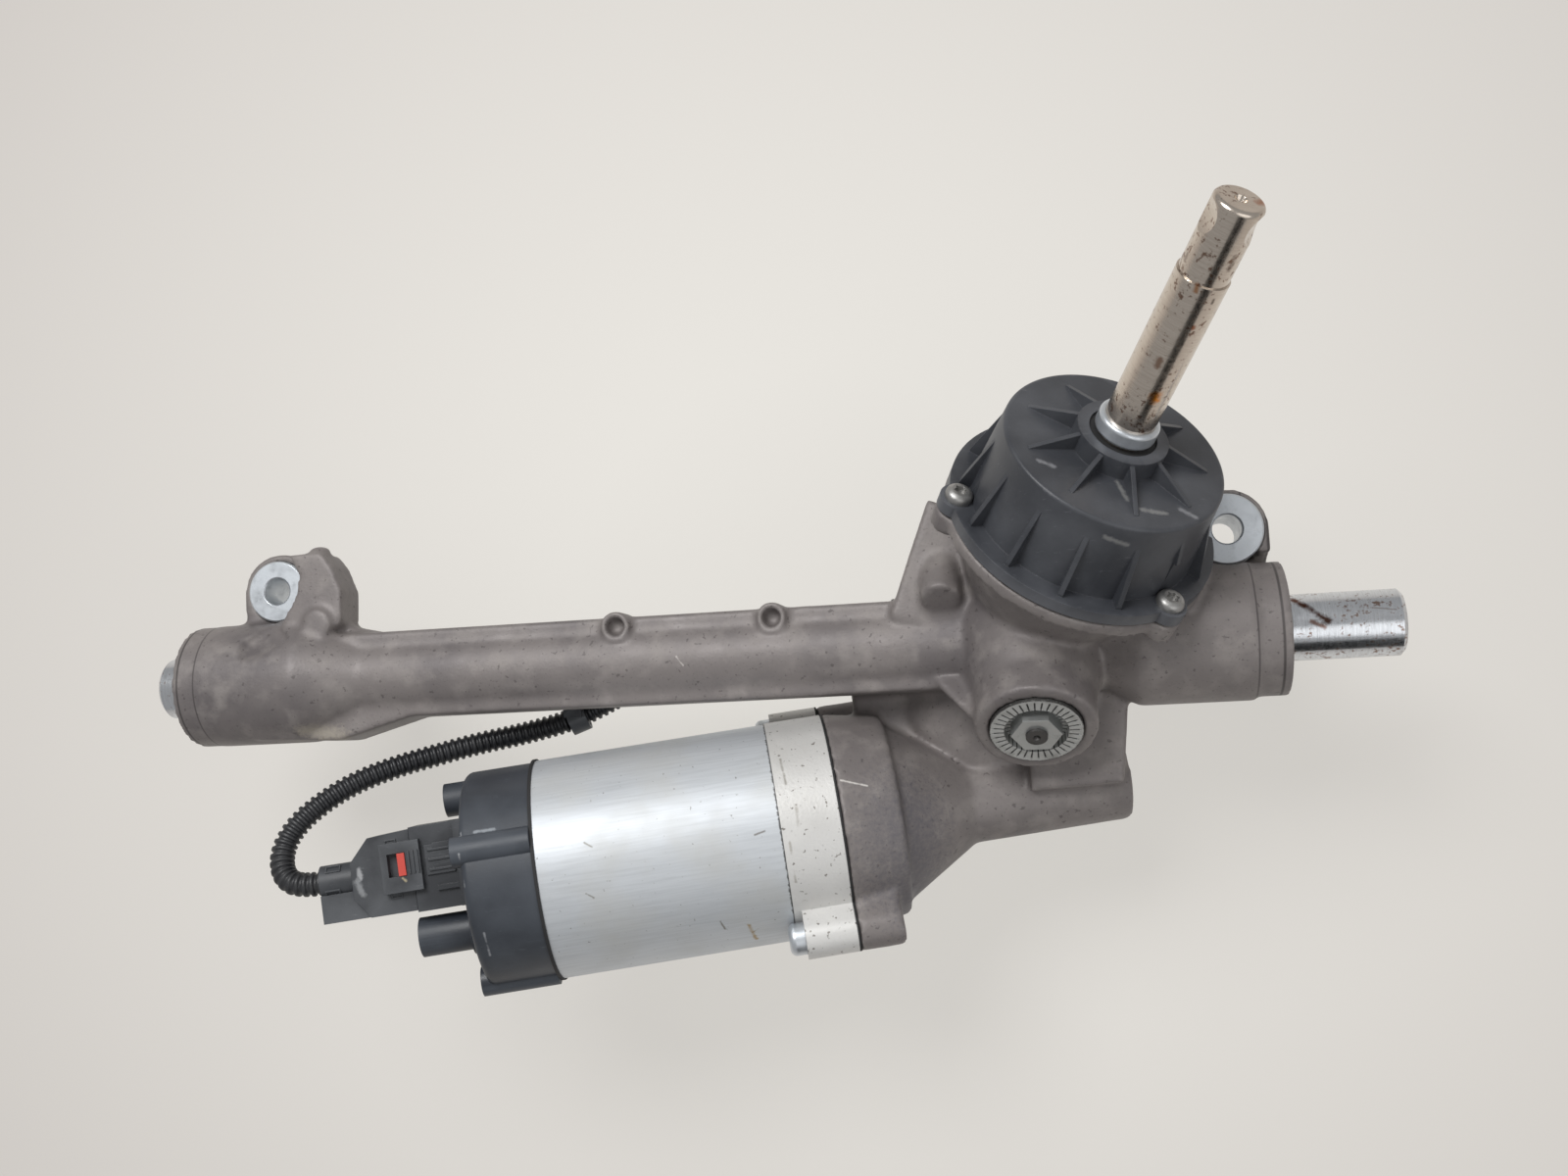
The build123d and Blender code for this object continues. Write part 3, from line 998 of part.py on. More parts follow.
def power_blades():
    plane = placed(MOTOR_PLANE, POWER_UP, POWER_OUT)
    start = ECU_START - POWER_LEN + BLADE_SET_BACK
    return [block(plane, (-2.6, 2.6), (side - 0.6, side + 0.6), (start, ECU_START - 4)) for side in (-2.6, 2.6)]


def harness_plug():
    """Plug on the sensor loom: a tongue in the shroud, a tapered body, a latch frame and a collar."""
    plane = header_plane()
    mouth = ECU_START - HEADER_LEN
    tail = mouth - PLUG_BODY_LEN
    up = HEADER_HEIGHT / 2 - HEADER_WALL - 0.1
    out = HEADER_DEPTH / 2 - HEADER_WALL - 0.1
    body = block(plane, (-up, up), (-out, out), (mouth - 1, ECU_START - 9))
    face = make_face(Polyline((-up - 2, mouth - 0.3), (up + 2, mouth - 0.3), (up + 1, tail + 8), (up - 8, tail),
                              (-up + 6, tail), (-up - 2, tail + 6), close=True))
    side = Plane(origin=plane.origin, x_dir=plane.x_dir, z_dir=plane.x_dir.cross(plane.z_dir))
    depth = HEADER_DEPTH - 2
    body += side * Pos(0, 0, -depth / 2) * extrude(face, depth)
    body += rod(plane, LOOM_R + 1.8, tail - COLLAR_TAIL, tail + 2)
    body += block(plane, (-up - 2, -LOOM_R), (-6, 6), (tail - COLLAR_TAIL, tail + 12))
    out_face = depth / 2
    body += block(plane, (-8, 12), (out_face - 1, out_face + LATCH_HIGH), (mouth - 12, mouth - 0.3))
    body += block(plane, (-8, 12), (HEADER_DEPTH / 2 + 0.2, out_face + LATCH_HIGH), (mouth - 1, mouth + 4))
    return body - lock_window(0.1)


def lock_window(gap):
    """Slot of the latch frame, long enough for the lock's travel."""
    plane = header_plane()
    mouth = ECU_START - HEADER_LEN
    out_face = HEADER_DEPTH / 2 - 1
    return block(plane, (LOCK_UP - LOCK_HALF - gap, LOCK_UP + LOCK_HALF + gap),
                 (out_face + 0.5, out_face + LATCH_HIGH + 1),
                 (mouth - 2 - LOCK_TRAVEL - LOCK_LEN - gap, mouth - 2 + gap))


def plug_lock():
    """Sliding lock of the harness plug, pushed home."""
    plane = header_plane()
    mouth = ECU_START - HEADER_LEN
    out_face = HEADER_DEPTH / 2 - 1
    return block(plane, (LOCK_UP - LOCK_HALF, LOCK_UP + LOCK_HALF),
                 (out_face + 0.6, out_face + LATCH_HIGH + 0.6), (mouth - 2 - LOCK_LEN, mouth - 2))


# ---- loom -------------------------------------------------------------------------------------
def loom_points():
    """Route of the loom's middle, from the plug's collar to the outlet on the sensor cover."""
    tail = ECU_START - HEADER_LEN - PLUG_BODY_LEN - COLLAR_TAIL
    start = placed(header_plane(), z=tail).origin
    lead = placed(header_plane(), z=tail - 10).origin
    entry = placed(port_plane(), z=PORT_FOOT - 14).origin
    end = placed(port_plane(), z=PORT_FOOT + GROMMET_LEN).origin
    return [start, lead] + [Vector(*p) for p in LOOM_ROUTE] + [entry, end]


def loom_radii(points):
    radii = []
    for before, here, after in zip(points, points[1:], points[2:]):
        shorter = min((here - before).length, (after - here).length)
        turn = (here - before).get_angle(after - here)
        radii.append(LOOM_BEND * shorter / tan(radians(turn / 2)))
    return radii


def loom_path():
    points = loom_points()
    return FilletPolyline(*points, radius=loom_radii(points))


def sensor_loom():
    print("loom arc radii:", [round(r, 1) for r in loom_radii(loom_points())])
    path = loom_path()
    tube = sweep(Plane(origin=path @ 0, z_dir=path % 0) * Circle(LOOM_R), path)
    print("loom length", round(path.length, 1), "volume ratio",
          round(tube.volume / (pi * LOOM_R ** 2 * path.length), 4))
    return tube


def loom_clip():
    """Sprung ring round the loom on a foot that sits against the tube."""
    corner = Vector(*LOOM_ROUTE[CLIP_POINT])
    here = loom_path().closest_points(Vertex(corner))[0]
    before = Vector(*LOOM_ROUTE[CLIP_POINT - 1])
    after = Vector(*LOOM_ROUTE[CLIP_POINT + 1])
    plane = Plane(origin=here, z_dir=(after - before).normalized())
    foot = block(Plane.XY, (here.X - 4, here.X + 4), (here.Y, -TUBE_RAIL_LOW + 5), (here.Z, -TUBE_RAIL_Z))
    return rod(plane, LOOM_R + 1.8, -4, 4) + foot - rod(plane, LOOM_R + CLIP_GAP, -9, 9)


PARTS = {
    "rack_housing": rack_housing,
    "mount_bush_pinion_side": lambda: mount_bush(RIGHT_EAR_X, RIGHT_BUSH_R, RIGHT_BUSH_LEN),
    "mount_bush_far_side": lambda: mount_bush(LEFT_EAR_X, LEFT_BUSH_R, LEFT_BUSH_LEN),
    "rack_bar": rack_bar,
    "rack_bushing": rack_bushing,
    "end_stop_rings": end_stop_rings,
    "pinion": pinion,
    "worm_wheel_hub": worm_wheel_hub,
    "worm_wheel_rim": worm_wheel_rim,
    "torsion_bar": torsion_bar,
    "input_shaft": input_shaft,
    "shaft_collar": shaft_collar,
    "pinion_upper_bearing": upper_bearing,
    "pinion_lower_bearing": lower_bearing,
    "lower_cover": lower_cover,
    "lower_cover_screws": lower_cover_screws,
    "cover_gasket": cover_gasket,
    "sensor_cover": sensor_cover,
    "shaft_seal": shaft_seal,
    "cover_screws": cover_screws,
    "torque_sensor": torque_sensor,
    "sensor_rotor": sensor_rotor,
    "sensor_magnet": sensor_magnet,
    "yoke": yoke,
    "yoke_spring": yoke_spring,
    "yoke_plug": yoke_plug,
    "yoke_nut": yoke_nut,
    "yoke_stud": yoke_stud,
    "worm": worm,
    "worm_bearings": worm_bearings,
    "coupling": coupling,
    "motor_flange": motor_flange,
    "motor_gasket": motor_gasket,
    "motor_bolts": motor_bolts,
    "motor_can": motor_can,
    "motor_bearings": motor_bearings,
    "stator": stator,
    "rotor": rotor,
    "rotor_shaft": rotor_shaft,
    "ecu_cover": ecu_cover,
    "ecu_seal": ecu_seal,
    "ecu_board": ecu_board,
    "signal_header": signal_header,
    "power_header": power_header,
    "power_blades": power_blades,
    "harness_plug": harness_plug,
    "plug_lock": plug_lock,
    "sensor_loom": sensor_loom,
    "loom_clip": loom_clip,
    "sensor_grommet": sensor_grommet,
}


def main():
    os.makedirs("parts", exist_ok=True)
    for name, make in PARTS.items():
        made = make()
        shape = Compound(made) if isinstance(made, list) else made
        export_step(shape, os.path.join("parts", name + ".step"))


main()
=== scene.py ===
import math

import bmesh
import bpy
import numpy as np
from mathutils import Matrix, Vector


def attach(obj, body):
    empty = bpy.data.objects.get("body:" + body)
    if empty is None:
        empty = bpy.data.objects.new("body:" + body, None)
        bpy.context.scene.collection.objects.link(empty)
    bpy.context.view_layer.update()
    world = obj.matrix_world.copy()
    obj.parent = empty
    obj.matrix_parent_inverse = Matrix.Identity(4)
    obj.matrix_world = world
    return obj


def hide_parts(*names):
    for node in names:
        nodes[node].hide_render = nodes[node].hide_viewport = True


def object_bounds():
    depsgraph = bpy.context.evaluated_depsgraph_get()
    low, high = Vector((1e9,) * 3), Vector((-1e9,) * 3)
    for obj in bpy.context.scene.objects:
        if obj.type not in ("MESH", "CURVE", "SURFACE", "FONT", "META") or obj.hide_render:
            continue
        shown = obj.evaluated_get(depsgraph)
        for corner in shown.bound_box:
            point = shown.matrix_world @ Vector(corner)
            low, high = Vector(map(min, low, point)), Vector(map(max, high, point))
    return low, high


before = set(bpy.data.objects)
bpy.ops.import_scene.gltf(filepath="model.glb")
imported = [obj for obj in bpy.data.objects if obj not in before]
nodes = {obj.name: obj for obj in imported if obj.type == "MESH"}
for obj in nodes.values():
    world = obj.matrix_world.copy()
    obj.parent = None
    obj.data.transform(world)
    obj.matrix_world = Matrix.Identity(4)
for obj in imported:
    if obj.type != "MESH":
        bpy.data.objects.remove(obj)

cad_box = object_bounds()
MM = 0.001

# ---- the rack's own axes and places, in metres --------------------------------------------------
RACK_AXIS = Vector((1.0, 0.0, 0.0))
PINION_POINT = Vector((-0.091, 0.011317, -0.009446))
PINION_AXIS = Vector((0.377934, 0.593237, 0.710799))
RACK_CROSSING = Vector((-0.091, 0.0, 0.0))
YOKE_AXIS = Vector((0.0, -0.767741, 0.640761))
WORM_POINT = Vector((-0.103302, -0.061597, -0.024070))
MOTOR_AXIS = Vector((0.974452, 0.110680, -0.195433))
MOTOR_UP = Vector((-0.108519, 0.993856, 0.021764))
MOTOR_OUT = Vector((0.196641, 0.0, 0.980476))

# ---- sensor loom, in millimetres ----------------------------------------------------------------
LOOM_ROUTE = (
    (-381.5, -84.3, 36.8), (-391.2, -85.4, 38.8), (-399.6, -80.6, 36.0), (-402.4, -71.0, 31.0),
    (-398.2, -61.3, 27.0), (-389.7, -52.6, 21.0), (-377.9, -44.7, 14.0), (-363.7, -38.9, 6.0),
    (-348.3, -34.7, -2.0), (-332.2, -30.5, -9.0), (-311.0, -26.8, -15.5), (-289.0, -21.5, -19.8),
    (-262.0, -8.0, -24.0), (-217.0, 1.0, -26.5), (-173.5, 8.0, -29.5), (-134.5, 24.5, -33.0),
    (-111.0, 44.0, -30.5), (-91.5, 62.5, -23.0), (-77.9, 80.8, -9.4), (-69.5, 93.8, 6.2),
)
LOOM_DIAMETER = 0.010
LOOM_PITCH = 2.9
LOOM_ROOT_R = 3.9
LOOM_STEPS = 10            # cuts along one corrugation
LOOM_SIDES = 20
LOOM_WAVE = (-0.55, 0.35)  # levels of its wave that are roots and crests: flat, with short flanks

# ---- screws and setting marks, in millimetres ---------------------------------------------------
SCREW_HEAD_R = 5.4
SCREW_HEAD_LEN = 3.6
HEAD_CUTS = 12             # rings of faces up the head
HEAD_NARROWING = 0.38      # share by which its crown is narrower than its foot
HEAD_POWER = 4.0           # how late it narrows
SCREW_R = 2.4
COVER_SHANK = 13.0
LOWER_SHANK = 12.0
COVER_SEATS = ((-114.55, 53.42, 51.93), (-39.77, 8.80, 49.40), (-50.99, 77.98, -2.36))
LOWER_SEATS = ((-76.74, -58.67, -72.99), (-109.67, -2.76, -102.14), (-166.71, -15.15, -61.48))
STAR_R = 2.7               # six-lobed recess
STAR_WAIST = 0.72          # its inner radius, as a share of the outer one
STAR_DEPTH = 2.0
SETTING_MARKS = 36         # round the yoke's adjuster
MARKS_END = 16.2           # radius at which they stop
RING_GRIME = (17.9, 18.3)  # radii between which the ring's rim turns dark

# ---- plug mouldings, in millimetres from the worm: along the motor's axis, up and out -----------
RIDGES = (-247.0, -245.2, -243.4)
RIDGE_FACE = 18.0
RIDGE_UP = 12.4
RIDGE_HALVES = (0.4, 4.6, 0.6)
# Middle and half sizes.
TONGUE_BARS = (
    ((-235.2, 12.0, 15.2), (5.8, 6.0, 0.8)),
    ((-235.2, 12.0, 16.2), (4.6, 0.5, 0.5)),
    ((-235.2, 16.0, 16.2), (4.6, 0.5, 0.5)),
    ((-235.2, 8.0, 16.2), (4.6, 0.5, 0.5)),
)
# Middle, half length, half width and lean in degrees.
WINDOW_RIMS = (
    ((-254.4, 20.8, 14.0), 2.0, 1.3, 0.0),
    ((-254.4, 0.2, 14.0), 2.0, 1.3, 0.0),
    ((-279.6, 14.0, 9.6), 2.8, 1.4, -45.0),
    ((-280.4, 4.6, 10.1), 2.8, 1.4, 39.0),
)
RIM_WALL = 0.35
RIM_HEIGHT = 0.5
MOULDED_ROUND = 0.15

# ---- casting's skin and machined faces, in millimetres ------------------------------------------
SKIN_CELL = 1.3            # finest step of the skin laid over the solid
SKIN_PASSES = 4            # smoothings, which fillet its corners
SKIN_FREE = 0.6            # share of the way that a point moves in one
MACHINED_HOLD = 0.4        # how much less it moves on a machined face
SKIN_SHARE = 0.48          # triangles kept
PINION_SEAT = -8.5         # boot seats, from here to the housing's ends
FAR_SEAT = -444.0
SEAT_BORE_R = 14.0         # the bar's bore, inside the pinion-side seat
STOP_BORE_R = 21.3         # counterbores for the end stops, and their floors
STOP_FLOORS = (-41.0, -408.0)
EARS_X = (-12.1, -417.6)
EARS_Y = 40.3
EAR_FACE_R = 15.2
COVER_JOINT = (49.5, 55.0)     # up the pinion's axis
MOTOR_JOINT = (-76.0, -71.5)   # along the motor's axis, from the worm
CAN_SEAM = -98.0               # between the motor's can and its end plate, from the worm

# ---- stage --------------------------------------------------------------------------------------
CAMERA_RIGHT = (0.9836, -0.0457, -0.1742)
CAMERA_UP = (0.0616, 0.9943, 0.0870)
CAMERA_BACK = (0.1692, -0.0963, 0.9809)
CAMERA_SPOT = (-0.083466, -0.033384, 0.627457)
FOCAL_LENGTH = 35.18       # millimetres
SENSOR_WIDTH = 36.0
# Name, spot, target, diameter in metres, watts.
LAMPS = (
    ("soft_key", (-0.55, 0.75, 1.35), (-0.2, 0.0, 0.0), 0.8, 17.0),
    ("soft_fill", (0.7, -0.5, 1.2), (-0.15, 0.0, 0.0), 1.4, 4.5),
)
WORLD = "#f4f4f4"
WORLD_STRENGTH = 0.42
FLOOR = "#e9e6e0"
# Painted shade: the floor's tone darkens towards its edges, a painted falloff of light round a
# brighter middle.
FLOOR_EDGE_SHADE = "#cdc8c3"
FLOOR_SIZE = 8.0
FLOOR_GAP = 0.5 * MM       # under the part
FLOOR_MIDDLE = (-0.20, 0.03, -0.10)
FLOOR_FADE = (0.12, 0.62)  # distances from the middle between which the painted edge shade comes up
FLOOR_GLOW = 0.65          # share of the floor's tone that the shadow leaves alone
CARD_SPOT = (0.10, -1.1, 0.30)
CARD_SIZE = (0.55, 0.8)

# ---- stains, scratches, lines and a patch of painted shade --------------------------------------
# Start and end in metres, width in millimetres, colour, strength.
CAN_MARKS = [
    ((-0.2070, -0.1064, 0.0282), (-0.2061, -0.1131, 0.0184), 1.0, "#a58c60", 0.85),
    ((-0.2065, -0.1100, 0.0240), (-0.2035, -0.1085, 0.0255), 0.6, "#8f7a58", 0.80),
    ((-0.2161, -0.1075, 0.0300), (-0.2172, -0.1040, 0.0337), 0.5, "#7b766c", 0.80),
    ((-0.2653, -0.0707, 0.0527), (-0.2623, -0.0723, 0.0525), 0.5, "#8b8880", 0.80),
    ((-0.2652, -0.0900, 0.0529), (-0.2624, -0.0917, 0.0519), 0.5, "#8b8880", 0.80),
    ((-0.1968, -0.0694, 0.0400), (-0.2006, -0.0707, 0.0408), 0.5, "#75706a", 0.80),
]
FLANGE_MARKS = [
    ((-0.1916, -0.0424, 0.0280), (-0.1886, -0.0519, 0.0341), 0.7, "#8a857c", 0.70),
    ((-0.1873, -0.0743, 0.0386), (-0.1864, -0.0896, 0.0348), 0.7, "#8f887c", 0.60),
    ((-0.1845, -0.0600, 0.0370), (-0.1838, -0.0680, 0.0385), 0.9, "#99948b", 0.60),
]
HOUSING_MARKS = [
    # Painted shade: the broad dark bluish patch on the next line darkens the motor adapter, which
    # faces away from the key lamp.
    ((-0.1500, -0.0700, 0.0150), (-0.1450, -0.1000, 0.0050), 26.0, "#5d5b61", 0.75),
    ((-0.1000, -0.0100, -0.0200), (-0.0900, -0.0500, -0.0200), 16.0, "#5b5555", 0.45),
    ((-0.4000, -0.0220, 0.0150), (-0.3850, -0.0240, 0.0100), 5.0, "#b0a898", 0.50),
    ((-0.1675, -0.0514, 0.0303), (-0.1575, -0.0541, 0.0280), 0.5, "#d8d4cf", 0.90),
    ((-0.2348, 0.0011, 0.0170), (-0.2321, -0.0026, 0.0169), 0.5, "#cfc9c4", 0.80),
    ((-0.2726, 0.0157, 0.0119), (-0.2718, -0.0090, 0.0147), 0.25, "#5a5352", 0.60),
]
SHAFT_MARKS = [
    ((-0.0427, 0.0777, 0.0850), (-0.0422, 0.0790, 0.0862), 2.6, "#d98a2c", 1.00),
    ((-0.0186, 0.1107, 0.1228), (-0.0170, 0.1132, 0.1262), 1.6, "#5a463a", 0.85),
    ((-0.0303, 0.0964, 0.1072), (-0.0301, 0.0966, 0.1075), 1.1, "#9a5a3a", 0.85),
    ((-0.0296, 0.1060, 0.1182), (-0.0290, 0.1075, 0.1195), 1.2, "#a8703f", 0.80),
    ((-0.0329, 0.1165, 0.1202), (-0.0322, 0.1178, 0.1215), 1.3, "#5d4a3f", 0.80),
    ((-0.0452, 0.0790, 0.0895), (-0.0444, 0.0802, 0.0908), 1.2, "#7a5c48", 0.75),
    ((-0.0417, 0.0874, 0.0958), (-0.0410, 0.0890, 0.0972), 1.8, "#7d5740", 0.75),
    ((-0.0240, 0.1025, 0.1135), (-0.0236, 0.1034, 0.1145), 0.8, "#4f433b", 0.80),
    ((-0.0095, 0.1290, 0.1309), (-0.0070, 0.1300, 0.1300), 2.6, "#a56a48", 0.75),
]
BAR_MARKS = [
    ((0.0100, 0.0104, 0.0080), (0.0134, 0.0077, 0.0105), 2.0, "#5a3524", 0.95),
    ((0.0134, 0.0077, 0.0105), (0.0219, 0.0010, 0.0131), 1.8, "#4d2c1c", 0.95),
    ((0.0155, 0.0014, 0.0130), (0.0203, -0.0012, 0.0130), 1.2, "#7a4c33", 0.80),
    ((0.0383, 0.0054, 0.0119), (0.0470, 0.0041, 0.0124), 0.4, "#8d7c70", 0.60),
]
PLUG_MARKS = [
    ((-0.3632, -0.0791, 0.0423), (-0.3625, -0.0827, 0.0422), 1.3, "#a5a6a8", 0.85),
    ((-0.3641, -0.0838, 0.0425), (-0.3619, -0.0885, 0.0421), 1.8, "#8f9193", 0.75),
    ((-0.3444, -0.0828, 0.0426), (-0.3432, -0.0840, 0.0424), 0.7, "#b5a888", 0.80),
]
COVER_MARKS = [
    ((-0.3082, -0.0648, 0.0566), (-0.3008, -0.0640, 0.0551), 0.9, "#9aa0a6", 0.75),
    ((-0.3138, -0.0650, 0.0567), (-0.3122, -0.0728, 0.0632), 0.6, "#a3a6a8", 0.80),
    ((-0.3122, -0.0728, 0.0632), (-0.3108, -0.0853, 0.0616), 0.5, "#8f9294", 0.70),
    ((-0.3050, -0.1033, 0.0574), (-0.3051, -0.1127, 0.0516), 0.6, "#94969a", 0.70),
    ((-0.0565, 0.0521, 0.0693), (-0.0537, 0.0448, 0.0739), 1.3, "#8f8f8d", 0.60),
    ((-0.0489, 0.0408, 0.0747), (-0.0403, 0.0392, 0.0714), 1.4, "#8f8f8d", 0.55),
    ((-0.0837, 0.0608, 0.0765), (-0.0787, 0.0584, 0.0759), 1.4, "#8f9094", 0.60),
    ((-0.0624, 0.0311, 0.0812), (-0.0550, 0.0282, 0.0780), 1.3, "#8f8f8d", 0.50),
    ((-0.0348, 0.0408, 0.0671), (-0.0299, 0.0377, 0.0672), 1.4, "#8f9094", 0.60),
]
# Machined shoulders: place along the bar and half width in millimetres, colour.
HOUSING_LINES = [
    (-6.0, 0.5, "#4b4646"),
    (3.4, 0.7, "#3d3938"),
    (-445.0, 0.5, "#4b4646"),
    (-452.6, 0.6, "#3d3938"),
]


# ---- small tools --------------------------------------------------------------------------------
def colour(code):
    """Linear RGBA of an sRGB hex colour."""
    parts = [int(code[i:i + 2], 16) / 255 for i in (1, 3, 5)]
    return [c / 12.92 if c <= 0.04045 else ((c + 0.055) / 1.055) ** 2.4 for c in parts] + [1.0]


def add(tree, kind, inputs=None, **settings):
    """A node with its settings, and its inputs given as values, hex colours, nodes or sockets."""
    made = tree.nodes.new(kind)
    for name, value in settings.items():
        setattr(made, name, value)
    for key, value in (inputs or {}).items():
        if isinstance(value, bpy.types.Node):
            value = value.outputs[0]
        if isinstance(value, bpy.types.NodeSocket):
            tree.links.new(value, made.inputs[key])
        else:
            made.inputs[key].default_value = colour(value) if isinstance(value, str) else value
    return made


def per_mm(size):
    """Pattern scale whose features are that many millimetres across."""
    return 1000.0 / size


def new_material(name):
    """Empty material, its tree, and the place on the piece that its patterns read."""
    material = bpy.data.materials.new(name)
    material.use_nodes = True
    tree = material.node_tree
    tree.nodes.clear()
    place = add(tree, "ShaderNodeTexCoord").outputs["Object"]
    return material, tree, place


def cover(tree, below, above, pattern, low, high, most=1.0):
    """The tone below, covered by the one above as the pattern goes from low to high."""
    share = add(tree, "ShaderNodeMapRange",
                {"Value": pattern, "From Min": low, "From Max": high, "To Max": most})
    return add(tree, "ShaderNodeMix", {0: share, 6: below, 7: above}, data_type="RGBA").outputs[2]


def stretched(tree, place, axis, across, along):
    """The place turned so that Z runs along an axis, and scaled across and along it."""
    turn = Vector((0, 0, 1)).rotation_difference(axis).inverted().to_euler()
    turned = add(tree, "ShaderNodeMapping", {"Vector": place, "Rotation": turn})
    return add(tree, "ShaderNodeMapping", {"Vector": turned, "Scale": (across, across, along)})


def distance_along(tree, place, point, axis):
    """Millimetres from a point along an axis."""
    offset = add(tree, "ShaderNodeVectorMath", {0: place, 1: point}, operation="SUBTRACT")
    along = add(tree, "ShaderNodeVectorMath", {0: offset, 1: axis / MM}, operation="DOT_PRODUCT")
    return along.outputs["Value"]


def marked(tree, tone, place, marks):
    """The tone with ragged stains, scratches and listed patches of painted shade: start, end, width
    in mm, colour, strength.
    """
    ragged = add(tree, "ShaderNodeTexNoise",
                 {"Vector": place, "Scale": per_mm(2.0), "Detail": 5.0, "Roughness": 0.7})
    for start, end, width, code, strength in marks:
        start, run = Vector(start), Vector(end) - Vector(start)
        offset = add(tree, "ShaderNodeVectorMath", {0: place, 1: start}, operation="SUBTRACT")
        share = add(tree, "ShaderNodeVectorMath", {0: offset, 1: run / run.length_squared},
                    operation="DOT_PRODUCT").outputs["Value"]
        inside = add(tree, "ShaderNodeClamp", {"Value": share})
        foot = add(tree, "ShaderNodeVectorMath", {0: run, "Scale": inside}, operation="SCALE")
        gap = add(tree, "ShaderNodeVectorMath", {0: offset, 1: foot},
                  operation="DISTANCE").outputs["Value"]
        reach = width * MM
        rim = add(tree, "ShaderNodeMath", {0: ragged, 1: 2.0 * reach, 2: gap},
                  operation="MULTIPLY_ADD")
        tone = cover(tree, tone, code, rim, 2.0 * reach, 1.2 * reach, strength)
    return tone


def finish_surface(tree, tone, rough_pattern, rough, metallic, height, depth_mm, round_mm):
    """The shader: its tone, a roughness that varies, a fine relief and softened sharp edges."""
    low, high = rough
    spread = add(tree, "ShaderNodeMapRange",
                 {"Value": rough_pattern, "From Min": 0.3, "From Max": 0.7,
                  "To Min": low, "To Max": high})
    soft_edges = add(tree, "ShaderNodeBevel", {"Radius": round_mm * MM}, samples=4)
    relief = add(tree, "ShaderNodeBump",
                 {"Height": height, "Distance": depth_mm * MM, "Normal": soft_edges})
    shader = add(tree, "ShaderNodeBsdfPrincipled",
                 {"Base Color": tone, "Roughness": spread, "Metallic": metallic, "Normal": relief})
    add(tree, "ShaderNodeOutputMaterial", {"Surface": shader})


def linked(name, data):
    """An object in the scene that holds this data."""
    thing = bpy.data.objects.new(name, data)
    bpy.context.collection.objects.link(thing)
    return thing


def plain_mesh(holder):
    """The mesh that an object's modifiers give. The object itself is removed."""
    depsgraph = bpy.context.evaluated_depsgraph_get()
    mesh = bpy.data.meshes.new_from_object(holder.evaluated_get(depsgraph))
    bpy.data.objects.remove(holder)
    return mesh


def shade_smooth(mesh):
    for face in mesh.polygons:
        face.use_smooth = True


# ---- finishes -----------------------------------------------------------------------------------
def cast_aluminium(name, base, dark, light, grime, metallic, rough, speckle, marks, lines=()):
    """Die-cast aluminium as it leaves the mould: matt, softly mottled, pitted, with grime and
    painted shade in its corners and edges lightened by wear and a painted highlight.
    """
    material, tree, place = new_material(name)
    clouds = add(tree, "ShaderNodeTexNoise",
                 {"Vector": place, "Scale": per_mm(46), "Detail": 5.0})
    patches = add(tree, "ShaderNodeTexNoise",
                  {"Vector": place, "Scale": per_mm(10), "Detail": 4.0})
    grain = add(tree, "ShaderNodeTexNoise",
                {"Vector": place, "Scale": per_mm(1.2), "Detail": 3.0})
    specks = add(tree, "ShaderNodeTexNoise",
                 {"Vector": place, "Scale": per_mm(2.2), "Detail": 2.0})
    pores = add(tree, "ShaderNodeTexVoronoi", {"Vector": place, "Scale": per_mm(3.4)})
    curvature = add(tree, "ShaderNodeNewGeometry").outputs["Pointiness"]
    tone = cover(tree, base, dark, clouds, 0.48, 0.68, 0.80)
    tone = cover(tree, tone, light, patches, 0.50, 0.72, 0.55)
    tone = cover(tree, tone, grime, grain, 0.58, 0.74, 0.16)
    # Painted light by curvature: convex edges lighter (edge wear and painted highlight on the lit
    # rails), hollows darker (grime and painted shade).
    tone = cover(tree, tone, light, curvature, 0.53, 0.60, 0.55)
    tone = cover(tree, tone, grime, curvature, 0.47, 0.40, 0.60)
    tone = cover(tree, tone, grime, pores, 0.14, 0.04, 0.30)
    tone = cover(tree, tone, grime, specks, 0.66, 0.71, speckle)
    for at, half, code in lines:
        far = distance_along(tree, place, Vector(), RACK_AXIS)
        gap = add(tree, "ShaderNodeMath", {0: far, 1: at}, operation="SUBTRACT")
        size = add(tree, "ShaderNodeMath", {0: gap}, operation="ABSOLUTE")
        tone = cover(tree, tone, code, size, half, 0.4 * half, 0.8)
    tone = marked(tree, tone, place, marks)
    finish_surface(tree, tone, patches, (rough - 0.06, rough + 0.08), metallic, grain, 0.09, 0.5)
    return material


def moulded_plastic(name, base, dust, rough, round_mm, marks=()):
    """Glass-filled moulded plastic: an even grain, dusty in places and scuffed on its edges."""
    material, tree, place = new_material(name)
    clouds = add(tree, "ShaderNodeTexNoise",
                 {"Vector": place, "Scale": per_mm(24), "Detail": 5.0})
    grain = add(tree, "ShaderNodeTexNoise",
                {"Vector": place, "Scale": per_mm(0.8), "Detail": 2.0})
    slanted = add(tree, "ShaderNodeMapping",
                  {"Vector": place, "Rotation": (0.4, 0.9, 0.6), "Scale": (1, 6, 2)})
    scuffs = add(tree, "ShaderNodeTexNoise",
                 {"Vector": slanted, "Scale": per_mm(7), "Detail": 6.0, "Roughness": 0.75})
    curvature = add(tree, "ShaderNodeNewGeometry").outputs["Pointiness"]
    tone = cover(tree, base, dust, clouds, 0.42, 0.74, 0.35)
    tone = cover(tree, tone, dust, scuffs, 0.62, 0.72, 0.55)
    tone = cover(tree, tone, dust, curvature, 0.54, 0.64, 0.35)
    tone = marked(tree, tone, place, marks)
    finish_surface(tree, tone, clouds, (rough - 0.05, rough + 0.12), 0.0, grain, 0.03, round_mm)
    return material


